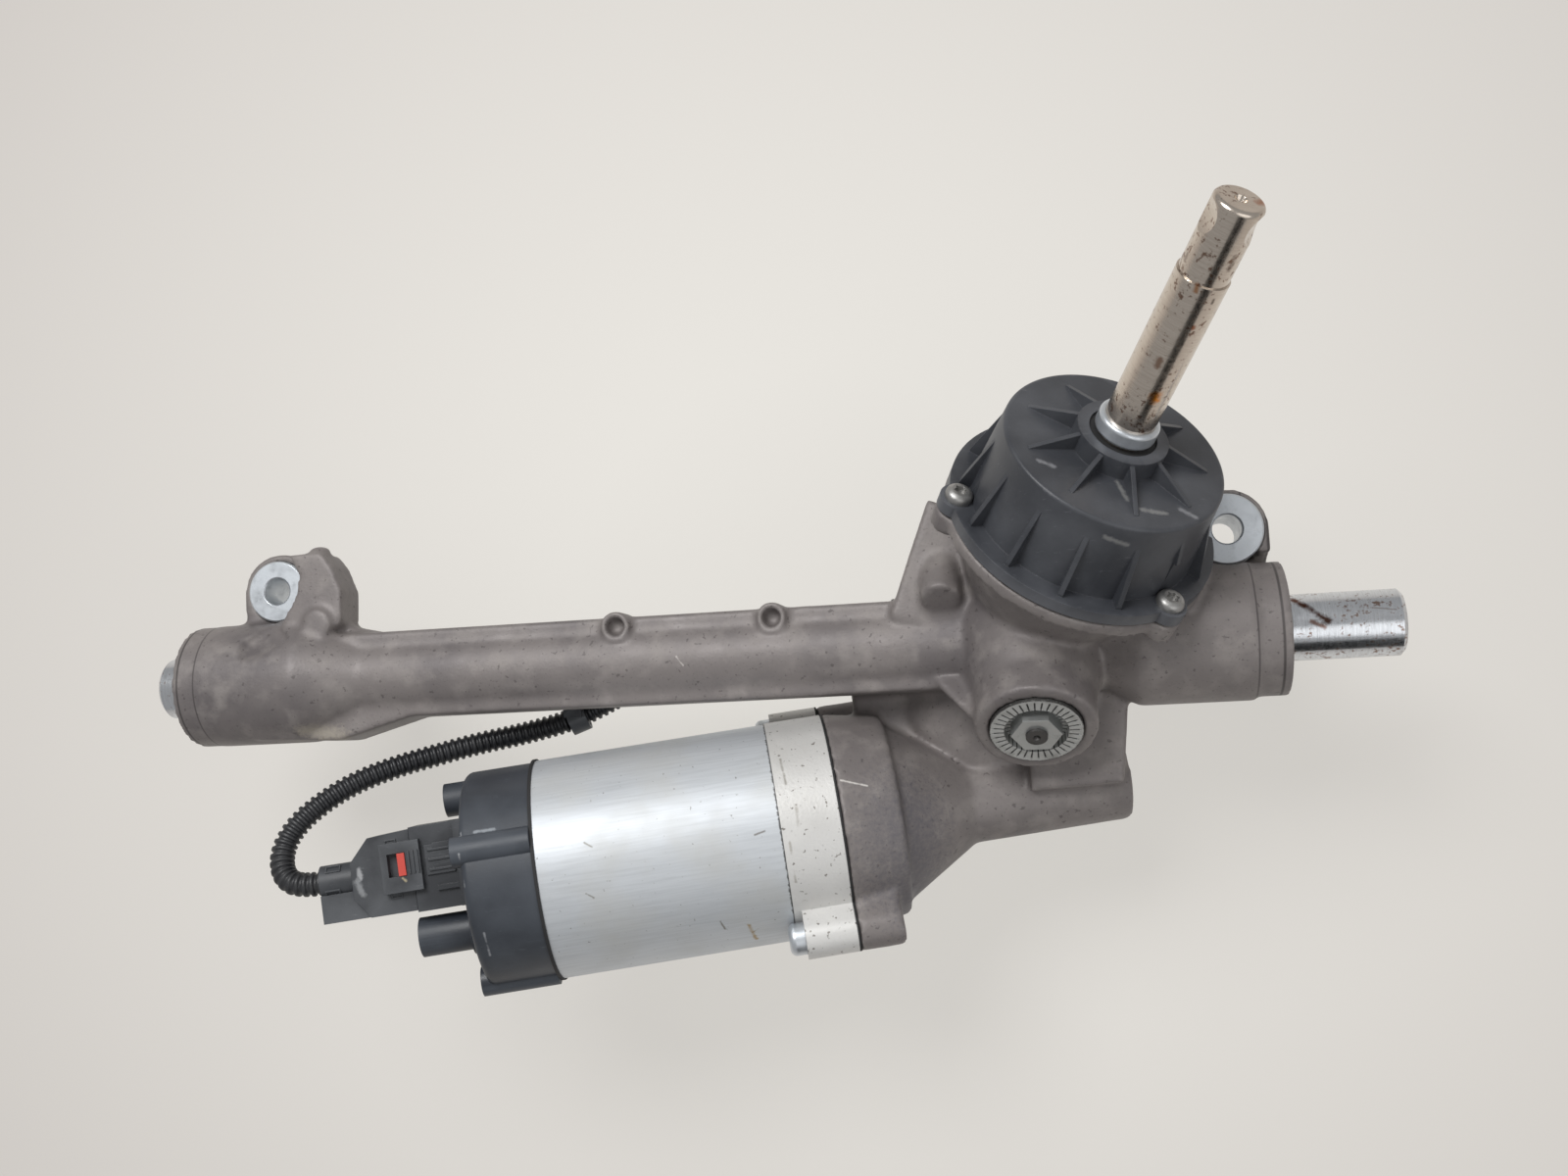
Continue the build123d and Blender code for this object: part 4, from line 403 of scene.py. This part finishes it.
def plated_steel(name, base, stain, rough):
    """Zinc-plated steel: bright cool grey with dull bloom."""
    material, tree, place = new_material(name)
    clouds = add(tree, "ShaderNodeTexNoise",
                 {"Vector": place, "Scale": per_mm(6), "Detail": 5.0, "Roughness": 0.7})
    grain = add(tree, "ShaderNodeTexNoise",
                {"Vector": place, "Scale": per_mm(0.8), "Detail": 2.0})
    tone = cover(tree, base, stain, clouds, 0.54, 0.74, 0.55)
    finish_surface(tree, tone, clouds, (rough - 0.06, rough + 0.16), 0.85, grain, 0.02, 0.3)
    return material


def marked_ring():
    """Plated adjuster whose engraved setting marks hold dark grime."""
    material, tree, place = new_material("zinc_plated_setting_ring")
    clouds = add(tree, "ShaderNodeTexNoise",
                 {"Vector": place, "Scale": per_mm(5), "Detail": 5.0})
    grain = add(tree, "ShaderNodeTexNoise",
                {"Vector": place, "Scale": per_mm(0.8), "Detail": 2.0})
    right = distance_along(tree, place, RACK_CROSSING, RACK_AXIS)
    up = distance_along(tree, place, RACK_CROSSING, YOKE_AXIS.cross(RACK_AXIS))
    angle = add(tree, "ShaderNodeMath", {0: up, 1: right}, operation="ARCTAN2")
    turns = add(tree, "ShaderNodeMath", {0: angle, 1: SETTING_MARKS / (2 * math.pi)},
                operation="MULTIPLY")
    gap = add(tree, "ShaderNodeMath", {0: turns, 1: 0.5}, operation="PINGPONG")
    squares = add(tree, "ShaderNodeMath", {0: right, 1: right}, operation="MULTIPLY")
    total = add(tree, "ShaderNodeMath", {0: up, 1: up, 2: squares}, operation="MULTIPLY_ADD")
    radius = add(tree, "ShaderNodeMath", {0: total}, operation="SQRT")
    beyond = add(tree, "ShaderNodeMapRange",
                 {"Value": radius, "From Min": MARKS_END, "From Max": MARKS_END + 0.5})
    mark = add(tree, "ShaderNodeMath", {0: gap, 1: beyond}, operation="ADD")
    rim = add(tree, "ShaderNodeMath", {0: grain, 1: 0.8, 2: radius}, operation="MULTIPLY_ADD")
    tone = cover(tree, "#b9bab8", "#8e8c87", clouds, 0.48, 0.72, 0.6)
    tone = cover(tree, tone, "#1f1e1d", mark, 0.15, 0.09, 0.9)
    tone = cover(tree, tone, "#3a3836", rim, *RING_GRIME, 0.9)
    finish_surface(tree, tone, clouds, (0.36, 0.55), 0.55, grain, 0.03, 0.3)
    return material


def ground_steel(name, base, shade, axis, rust, marks):
    """Ground steel bar: fine rings round its axis, rust freckles, and its own stains."""
    material, tree, place = new_material(name)
    fine = stretched(tree, place, axis, 0.15, 3.0)
    rings = add(tree, "ShaderNodeTexNoise",
                {"Vector": fine, "Scale": per_mm(1.2), "Detail": 2.0})
    clouds = add(tree, "ShaderNodeTexNoise",
                 {"Vector": place, "Scale": per_mm(16), "Detail": 4.0})
    freckles = add(tree, "ShaderNodeTexNoise",
                   {"Vector": place, "Scale": per_mm(2.0), "Detail": 4.0, "Roughness": 0.7})
    where = add(tree, "ShaderNodeMath", {0: clouds, 1: 0.35, 2: freckles},
                operation="MULTIPLY_ADD")
    tone = cover(tree, base, shade, rings, 0.35, 0.70, 0.30)
    tone = cover(tree, tone, rust, where, 0.77, 0.84, 0.85)
    tone = marked(tree, tone, place, marks)
    finish_surface(tree, tone, freckles, (0.14, 0.28), 1.0, rings, 0.015, 0.3)
    return material


def satin_can():
    """Drawn and nickel-dipped motor can: pale, satin, with handling marks and a grimy seam."""
    material, tree, place = new_material("drawn_can_satin")
    drawn = stretched(tree, place, MOTOR_AXIS, 3.0, 0.15)
    streaks = add(tree, "ShaderNodeTexNoise",
                  {"Vector": drawn, "Scale": per_mm(3.0), "Detail": 3.0})
    scratches = add(tree, "ShaderNodeTexNoise",
                    {"Vector": drawn, "Scale": per_mm(1.2), "Detail": 5.0, "Roughness": 0.8})
    clouds = add(tree, "ShaderNodeTexNoise",
                 {"Vector": place, "Scale": per_mm(28), "Detail": 4.0})
    dots = add(tree, "ShaderNodeTexNoise",
               {"Vector": place, "Scale": per_mm(1.6), "Detail": 3.0})
    tone = cover(tree, "#ced2d6", "#b7bbbf", streaks, 0.40, 0.70, 0.45)
    tone = cover(tree, tone, "#c3c3bf", clouds, 0.48, 0.72, 0.55)
    tone = cover(tree, tone, "#9a9893", scratches, 0.67, 0.74, 0.50)
    tone = cover(tree, tone, "#5f5a52", dots, 0.70, 0.74, 0.6)
    from_worm = distance_along(tree, place, WORM_POINT, MOTOR_AXIS)
    seam = add(tree, "ShaderNodeMath", {0: dots, 1: 1.6, 2: from_worm}, operation="MULTIPLY_ADD")
    tone = cover(tree, tone, "#3c3a38", seam, CAN_SEAM, CAN_SEAM + 0.5, 0.85)
    tone = marked(tree, tone, place, CAN_MARKS)
    finish_surface(tree, tone, clouds, (0.42, 0.56), 0.45, streaks, 0.03, 0.4)
    return material


FINISHES = {
    "housing": cast_aluminium("cast_aluminium_grime_and_painted_light", "#7f7977", "#625d5e", "#99938f", "#453f3e",
                              0.20, 0.52, 0.55, HOUSING_MARKS, HOUSING_LINES),
    "flange": cast_aluminium("cast_aluminium_bare", "#cdccca", "#b7b5b1", "#dcdbd8", "#6b655d",
                             0.30, 0.48, 0.80, FLANGE_MARKS),
    "cover": moulded_plastic("moulded_plastic_black_dusty", "#383a3f", "#6d6f74", 0.40, 0.5,
                             COVER_MARKS),
    "ecu": moulded_plastic("moulded_plastic_blue_black", "#2b2f36", "#5d636b", 0.42, 0.5,
                           COVER_MARKS),
    "plug": moulded_plastic("moulded_plastic_black", "#303236", "#75787c", 0.44, 0.3, PLUG_MARKS),
    "loom": moulded_plastic("extruded_polyamide_black", "#252629", "#4c4c4d", 0.38, 0.1),
    "rubber": moulded_plastic("moulded_rubber_black", "#1d1d1e", "#39393a", 0.70, 0.2),
    "lock": moulded_plastic("moulded_plastic_red", "#c22a22", "#d86a5c", 0.38, 0.2),
    "gear": moulded_plastic("moulded_nylon_natural", "#d9cfae", "#b9ae8c", 0.50, 0.2),
    "board": moulded_plastic("lacquered_board_green", "#1f5a30", "#38734a", 0.35, 0.1),
    "zinc": plated_steel("zinc_plated_steel", "#cfd4d9", "#a0a5a9", 0.32),
    "ring": marked_ring(),
    "dark_zinc": plated_steel("phosphated_steel", "#5a5857", "#3a3735", 0.46),
    "screw": plated_steel("zinc_plated_screw_dulled", "#a3a2a0", "#6b6762", 0.36),
    "nut": plated_steel("zinc_plated_nut", "#b9bbba", "#8b8a86", 0.34),
    "hard_steel": plated_steel("hardened_steel", "#86868a", "#5b5450", 0.30),
    "copper": plated_steel("enamelled_copper", "#b26a3a", "#6a3a22", 0.40),
    "can": satin_can(),
    "shaft": ground_steel("ground_steel_shaft", "#d6cbbf", "#a89a8d", PINION_AXIS, "#6f4f3c",
                          SHAFT_MARKS),
    "bar": ground_steel("ground_steel_bar", "#dadde1", "#a5a8ab", RACK_AXIS, "#7b5a45", BAR_MARKS),
}
USES = {
    "housing": ["rack_housing"],
    "flange": ["motor_flange", "lower_cover"],
    "cover": ["sensor_cover"],
    "ecu": ["ecu_cover", "power_header"],
    "plug": ["signal_header", "harness_plug", "loom_clip"],
    "loom": ["sensor_loom"],
    "rubber": ["cover_gasket", "motor_gasket", "ecu_seal", "shaft_seal", "sensor_grommet",
               "end_stop_rings"],
    "lock": ["plug_lock"],
    "gear": ["worm_wheel_rim", "rack_bushing", "sensor_rotor", "yoke", "coupling"],
    "board": ["ecu_board", "torque_sensor"],
    "zinc": ["mount_bush_pinion_side", "mount_bush_far_side", "motor_bolts", "shaft_collar"],
    "ring": ["yoke_plug"],
    "nut": ["yoke_nut"],
    "screw": ["cover_screws", "lower_cover_screws"],
    "dark_zinc": ["yoke_stud", "yoke_spring", "sensor_magnet"],
    "hard_steel": ["pinion", "worm_wheel_hub", "torsion_bar", "pinion_upper_bearing",
                   "pinion_lower_bearing", "worm", "worm_bearings", "motor_bearings", "rotor",
                   "rotor_shaft"],
    "copper": ["stator", "power_blades"],
    "can": ["motor_can"],
    "shaft": ["input_shaft"],
    "bar": ["rack_bar"],
}
for finish, names in USES.items():
    for name in names:
        nodes[name].data.materials.clear()
        nodes[name].data.materials.append(FINISHES[finish])


# ---- camera, light and floor --------------------------------------------------------------------
def add_camera():
    lens = bpy.data.cameras.new("camera")
    lens.lens = FOCAL_LENGTH
    lens.sensor_width = SENSOR_WIDTH
    lens.clip_start = 0.01
    lens.clip_end = 20.0
    camera = linked("camera", lens)
    rows = list(zip(CAMERA_RIGHT, CAMERA_UP, CAMERA_BACK, CAMERA_SPOT))
    camera.matrix_world = Matrix(rows + [(0, 0, 0, 1)])
    bpy.context.scene.camera = camera


def add_lamp(name, spot, target, size, power):
    light = bpy.data.lights.new(name, "AREA")
    light.shape = "DISK"
    light.size = size
    light.energy = power
    lamp = linked(name, light)
    lamp.location = spot
    lamp.rotation_euler = (Vector(target) - Vector(spot)).to_track_quat("-Z", "Y").to_euler()


def add_floor():
    """Pale painted floor with painted shade that darkens it towards its edges, which keeps the soft
    shadow.
    """
    material, tree, place = new_material("floor_pale_paint")
    gap = add(tree, "ShaderNodeVectorMath", {0: place, 1: FLOOR_MIDDLE},
              operation="DISTANCE").outputs["Value"]
    tone = cover(tree, FLOOR, FLOOR_EDGE_SHADE, gap, *FLOOR_FADE)
    paint = add(tree, "ShaderNodeBsdfPrincipled", {"Base Color": tone, "Roughness": 0.9})
    glow = add(tree, "ShaderNodeEmission", {"Color": tone, "Strength": 1.0})
    seen = add(tree, "ShaderNodeLightPath").outputs
    direct = add(tree, "ShaderNodeMath", {0: seen["Is Camera Ray"], 1: seen["Is Glossy Ray"]},
                 operation="ADD")
    every = add(tree, "ShaderNodeMath", {0: direct, 1: seen["Is Transmission Ray"]},
                operation="ADD")
    share = add(tree, "ShaderNodeMath", {0: every, 1: FLOOR_GLOW}, operation="MULTIPLY")
    mixed = add(tree, "ShaderNodeMixShader", {0: share, 1: paint, 2: glow})
    add(tree, "ShaderNodeOutputMaterial", {"Surface": mixed})
    bpy.ops.mesh.primitive_plane_add(size=FLOOR_SIZE)
    floor = bpy.context.object
    floor.name = "floor"
    floor.data.transform(Matrix.Translation((-0.2, 0, cad_box[0][2] - FLOOR_GAP)))
    floor.data.materials.append(material)


def add_dark_card():
    """Black card standing in front of the part, which bright metal shows as a dark band."""
    material, tree, _ = new_material("card_black_paint")
    paint = add(tree, "ShaderNodeBsdfPrincipled", {"Base Color": "#0c0c0c", "Roughness": 0.9})
    add(tree, "ShaderNodeOutputMaterial", {"Surface": paint})
    bpy.ops.mesh.primitive_plane_add(size=1)
    card = bpy.context.object
    card.name = "dark_card"
    stand = Matrix.Translation(CARD_SPOT) @ Matrix.Rotation(math.radians(90), 4, "X")
    card.data.transform(stand @ Matrix.Diagonal((*CARD_SIZE, 1, 1)))
    card.data.materials.append(material)
    card.visible_camera = False
    card.visible_shadow = False
    card.visible_diffuse = False


def light_world():
    world = bpy.data.worlds.new("studio")
    world.use_nodes = True
    background = world.node_tree.nodes["Background"]
    background.inputs["Color"].default_value = colour(WORLD)
    background.inputs["Strength"].default_value = WORLD_STRENGTH
    bpy.context.scene.world = world


add_camera()
light_world()
add_floor()
add_dark_card()
for lamp in LAMPS:
    add_lamp(*lamp)
bpy.context.scene.view_settings.view_transform = "Standard"


# ---- geometry nodes -----------------------------------------------------------------------------
def new_tree(name, inputs):
    """Geometry-nodes tree with named sizes, a material and a geometry each way."""
    tree = bpy.data.node_groups.new(name, "GeometryNodeTree")
    tree.interface.new_socket(name="Geometry", in_out="INPUT", socket_type="NodeSocketGeometry")
    for key in inputs:
        tree.interface.new_socket(name=key, in_out="INPUT", socket_type="NodeSocketFloat")
    tree.interface.new_socket(name="Axis", in_out="INPUT", socket_type="NodeSocketVector")
    tree.interface.new_socket(name="Material", in_out="INPUT", socket_type="NodeSocketMaterial")
    tree.interface.new_socket(name="Geometry", in_out="OUTPUT", socket_type="NodeSocketGeometry")
    return tree, add(tree, "NodeGroupInput").outputs


def close_tree(tree, geometry, material):
    real = add(tree, "GeometryNodeRealizeInstances", {"Geometry": geometry})
    done = add(tree, "GeometryNodeSetMaterial", {"Geometry": real, "Material": material})
    add(tree, "NodeGroupOutput", {"Geometry": done})
    return tree


def swept(tree, line, radius, profile):
    """Closed tube along a line, its profile scaled by the radius at each point."""
    shaped = add(tree, "GeometryNodeSetCurveRadius", {"Curve": line, "Radius": radius})
    tube = add(tree, "GeometryNodeCurveToMesh",
               {"Curve": shaped, "Profile Curve": profile, "Fill Caps": True})
    if "Scale" in tube.inputs:
        tree.links.new(radius, tube.inputs["Scale"])
    return tube


def corrugated_tube_tree():
    """A tube along a line whose radius steps between crests and roots."""
    tree, given = new_tree("corrugated_tube", ("Pitch", "Crest Radius", "Root Radius"))
    step = add(tree, "ShaderNodeMath", {0: given["Pitch"], 1: LOOM_STEPS}, operation="DIVIDE")
    line = add(tree, "GeometryNodeMeshToCurve", {"Mesh": given["Geometry"]})
    even = add(tree, "GeometryNodeResampleCurve", {"Curve": line, "Length": step}, mode="LENGTH")
    along = add(tree, "GeometryNodeSplineParameter").outputs["Length"]
    turns = add(tree, "ShaderNodeMath", {0: along, 1: given["Pitch"]}, operation="DIVIDE")
    angle = add(tree, "ShaderNodeMath", {0: turns, 1: 2 * math.pi}, operation="MULTIPLY")
    wave = add(tree, "ShaderNodeMath", {0: angle}, operation="SINE")
    radius = add(tree, "ShaderNodeMapRange",
                 {"Value": wave, "From Min": LOOM_WAVE[0], "From Max": LOOM_WAVE[1],
                  "To Min": given["Root Radius"], "To Max": given["Crest Radius"]}).outputs[0]
    circle = add(tree, "GeometryNodeCurvePrimitiveCircle",
                 {"Resolution": LOOM_SIDES, "Radius": 1.0})
    return close_tree(tree, swept(tree, even, radius, circle), given["Material"])


def star_screw_tree():
    """Round-headed screws with a six-lobed recess, one at each point, facing along the axis."""
    tree, given = new_tree("star_screws", ("Head Radius", "Head Height", "Recess Radius",
                                           "Recess Depth", "Shank Radius", "Shank Length"))
    foot = add(tree, "ShaderNodeCombineXYZ")
    top = add(tree, "ShaderNodeCombineXYZ", {"Z": given["Head Height"]})
    line = add(tree, "GeometryNodeCurvePrimitiveLine", {"Start": foot, "End": top})
    fine = add(tree, "GeometryNodeResampleCurve", {"Curve": line, "Count": HEAD_CUTS})
    share = add(tree, "GeometryNodeSplineParameter").outputs["Factor"]
    high = add(tree, "ShaderNodeMath", {0: share, 1: HEAD_POWER}, operation="POWER")
    narrow = add(tree, "ShaderNodeMath", {0: high, 1: -HEAD_NARROWING, 2: 1.0},
                 operation="MULTIPLY_ADD")
    width = add(tree, "ShaderNodeMath", {0: narrow, 1: given["Head Radius"]},
                operation="MULTIPLY").outputs[0]
    circle = add(tree, "GeometryNodeCurvePrimitiveCircle", {"Resolution": 48, "Radius": 1.0})
    head = swept(tree, fine, width, circle)
    sunk = add(tree, "ShaderNodeMath", {0: given["Head Height"], 1: given["Recess Depth"]},
               operation="SUBTRACT")
    floor = add(tree, "ShaderNodeCombineXYZ", {"Z": sunk})
    above = add(tree, "ShaderNodeVectorMath", {0: top, 1: (0.0, 0.0, MM)}, operation="ADD")
    core = add(tree, "GeometryNodeCurvePrimitiveLine", {"Start": floor, "End": above})
    star = add(tree, "GeometryNodeCurveStar",
               {"Points": 6, "Inner Radius": STAR_WAIST, "Outer Radius": 1.0})
    recess = swept(tree, core, given["Recess Radius"], star)
    cut = add(tree, "GeometryNodeMeshBoolean", {"Mesh 1": head, "Mesh 2": recess},
              operation="DIFFERENCE")
    shank = add(tree, "GeometryNodeMeshCylinder",
                {"Vertices": 24, "Radius": given["Shank Radius"], "Depth": given["Shank Length"]})
    half = add(tree, "ShaderNodeMath", {0: given["Shank Length"], 1: -0.5}, operation="MULTIPLY")
    drop = add(tree, "ShaderNodeCombineXYZ", {"Z": half})
    below = add(tree, "GeometryNodeTransform", {"Geometry": shank, "Translation": drop})
    whole = add(tree, "GeometryNodeJoinGeometry")
    for piece in (below, cut):
        tree.links.new(piece.outputs[0], whole.inputs[0])
    turn = add(tree, "FunctionNodeAlignRotationToVector", {"Vector": given["Axis"]}, axis="Z")
    points = add(tree, "GeometryNodeMeshToPoints", {"Mesh": given["Geometry"]})
    placed = add(tree, "GeometryNodeInstanceOnPoints",
                 {"Points": points, "Instance": whole, "Rotation": turn})
    return close_tree(tree, placed, given["Material"])


def grown(name, mesh, tree, values):
    """Plain object made by a tree from a mesh, with the tree's inputs set by name."""
    holder = linked(name, mesh)
    modifier = holder.modifiers.new("grow", "NODES")
    modifier.node_group = tree
    sockets = {item.name: item.identifier for item in tree.interface.items_tree
               if item.item_type == "SOCKET" and item.in_out == "INPUT"}
    for key, value in values.items():
        modifier[sockets[key]] = value
    return linked(name, plain_mesh(holder))


# ---- sensor loom --------------------------------------------------------------------------------
def loom_line():
    """The loom's middle: one smooth spline, and the points read from it."""
    curve = bpy.data.curves.new("loom_line", "CURVE")
    curve.dimensions = "3D"
    spline = curve.splines.new("NURBS")
    spline.points.add(len(LOOM_ROUTE) - 1)
    for point, (x, y, z) in zip(spline.points, LOOM_ROUTE):
        point.co = (x * MM, y * MM, z * MM, 1.0)
    spline.order_u = 3
    spline.use_endpoint_u = True
    spline.resolution_u = 16
    line = plain_mesh(linked("loom_line", curve))
    return line, [vertex.co.copy() for vertex in line.vertices]


def make_loom():
    line, path = loom_line()
    values = {"Pitch": LOOM_PITCH * MM, "Crest Radius": LOOM_DIAMETER / 2,
              "Root Radius": LOOM_ROOT_R * MM, "Material": FINISHES["loom"]}
    loom = grown("corrugated_loom", line, corrugated_tube_tree(), values)
    shade_smooth(loom.data)
    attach(loom, "housing")
    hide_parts("sensor_loom")


# ---- screws -------------------------------------------------------------------------------------
def make_screws(node, name, seats, axis, shank):
    """The cover's screws, with their recessed heads, in place of the plain ones."""
    spots = bpy.data.meshes.new(name)
    spots.from_pydata([tuple(c * MM for c in seat) for seat in seats], [], [])
    values = {"Head Radius": SCREW_HEAD_R * MM, "Head Height": SCREW_HEAD_LEN * MM,
              "Recess Radius": STAR_R * MM, "Recess Depth": STAR_DEPTH * MM,
              "Shank Radius": SCREW_R * MM, "Shank Length": shank * MM,
              "Axis": tuple(axis), "Material": FINISHES["screw"]}
    screws = grown(name, spots, star_screw_tree(), values)
    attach(screws, "housing")
    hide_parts(node)


# ---- plug mouldings -----------------------------------------------------------------------------
def moulded_bar(work, spot, halves, lean):
    """Box on the plug, turned about the motor's axis: its middle and half sizes."""
    turn = Matrix.Rotation(math.radians(lean), 3, MOTOR_AXIS)
    ways = (MOTOR_AXIS, turn @ MOTOR_UP, turn @ MOTOR_OUT)
    middle = WORM_POINT + MM * (spot[0] * MOTOR_AXIS + spot[1] * MOTOR_UP + spot[2] * MOTOR_OUT)
    for vertex in bmesh.ops.create_cube(work, size=2.0)["verts"]:
        steps = (way * c * half for way, c, half in zip(ways, vertex.co, halves))
        vertex.co = middle + MM * sum(steps, Vector())


def moulded_frame(work, spot, half_long, half_wide, lean):
    """Low rim round a small window: four bars."""
    turn = Matrix.Rotation(math.radians(lean), 3, (1, 0, 0))
    for side in (-1, 1):
        across = turn @ Vector((0, side * half_wide, 0))
        moulded_bar(work, Vector(spot) + across, (half_long + RIM_WALL, RIM_WALL, RIM_HEIGHT),
                    lean)
        moulded_bar(work, Vector(spot) + Vector((side * half_long, 0, 0)),
                    (RIM_WALL, half_wide, RIM_HEIGHT), lean)


def make_plug_mouldings():
    """Grip ridges, the header's raised tongue and the rims of the plug's small windows."""
    work = bmesh.new()
    for along in RIDGES:
        moulded_bar(work, (along, RIDGE_UP, RIDGE_FACE), RIDGE_HALVES, 0.0)
    for spot, halves in TONGUE_BARS:
        moulded_bar(work, spot, halves, 0.0)
    for rim in WINDOW_RIMS:
        moulded_frame(work, *rim)
    bmesh.ops.recalc_face_normals(work, faces=work.faces)
    mesh = bpy.data.meshes.new("plug_mouldings")
    work.to_mesh(mesh)
    work.free()
    piece = linked("plug_mouldings", mesh)
    soft = piece.modifiers.new("soft", "BEVEL")
    soft.width = MOULDED_ROUND * MM
    soft.segments = 2
    mesh.materials.append(FINISHES["plug"])
    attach(piece, "housing")


# ---- housing ------------------------------------------------------------------------------------
def merged_copy(node):
    """A copy of a CAD node's mesh, with its doubles merged."""
    mesh = nodes[node].data.copy()
    work = bmesh.new()
    work.from_mesh(mesh)
    bmesh.ops.remove_doubles(work, verts=work.verts, dist=1e-6)
    work.to_mesh(mesh)
    work.free()
    return mesh


def machined(points):
    """1 on the casting's machined faces, which keep their edges, and 0 on its skin."""
    x, y, z = points.T / MM
    r = np.hypot(y, z)
    keep = (x > PINION_SEAT) & (r > SEAT_BORE_R) | (x < FAR_SEAT)
    keep |= (r < STOP_BORE_R) & ((x > STOP_FLOORS[0]) | (x < STOP_FLOORS[1]))
    for ear_x in EARS_X:
        keep |= np.hypot(x - ear_x, y - EARS_Y) < EAR_FACE_R
    up = (points - np.array(PINION_POINT)) @ np.array(PINION_AXIS) / MM
    keep |= (up > COVER_JOINT[0]) & (up < COVER_JOINT[1])
    out = (points - np.array(WORM_POINT)) @ np.array(MOTOR_AXIS) / MM
    keep |= (out > MOTOR_JOINT[0]) & (out < MOTOR_JOINT[1])
    return keep.astype(float)


def fillet(mesh):
    """Moves each point towards its neighbours' mean a few times, less on machined faces."""
    count = len(mesh.vertices)
    points = np.empty(count * 3)
    mesh.vertices.foreach_get("co", points)
    points = points.reshape(-1, 3)
    pairs = np.empty(len(mesh.edges) * 2, dtype=int)
    mesh.edges.foreach_get("vertices", pairs)
    pairs = pairs.reshape(-1, 2)
    degree = np.bincount(pairs.ravel(), minlength=count)[:, None]
    free = SKIN_FREE - MACHINED_HOLD * machined(points)[:, None]
    for _ in range(SKIN_PASSES):
        total = np.zeros_like(points)
        for axis in range(3):
            total[:, axis] = (np.bincount(pairs[:, 0], points[pairs[:, 1], axis], count)
                              + np.bincount(pairs[:, 1], points[pairs[:, 0], axis], count))
        points += free * (total / degree - points)
    mesh.vertices.foreach_set("co", points.ravel())
    mesh.update()


def make_housing():
    """The casting with its edges and corners filleted, by smoothing a fine skin on the solid."""
    solid = linked("cast_housing", merged_copy("rack_housing"))
    skin = solid.modifiers.new("skin", "REMESH")
    skin.mode = "VOXEL"
    skin.voxel_size = SKIN_CELL * MM
    mesh = plain_mesh(solid)
    fillet(mesh)
    skinned = linked("cast_housing", mesh)
    thin = skinned.modifiers.new("thin", "DECIMATE")
    thin.ratio = SKIN_SHARE
    mesh = plain_mesh(skinned)
    shade_smooth(mesh)
    mesh.materials.clear()
    mesh.materials.append(FINISHES["housing"])
    housing = linked("cast_housing", mesh)
    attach(housing, "housing")
    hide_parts("rack_housing")


make_loom()
make_screws("cover_screws", "cover_star_screws", COVER_SEATS, PINION_AXIS, COVER_SHANK)
make_screws("lower_cover_screws", "lower_star_screws", LOWER_SEATS, -PINION_AXIS, LOWER_SHANK)
make_plug_mouldings()
make_housing()
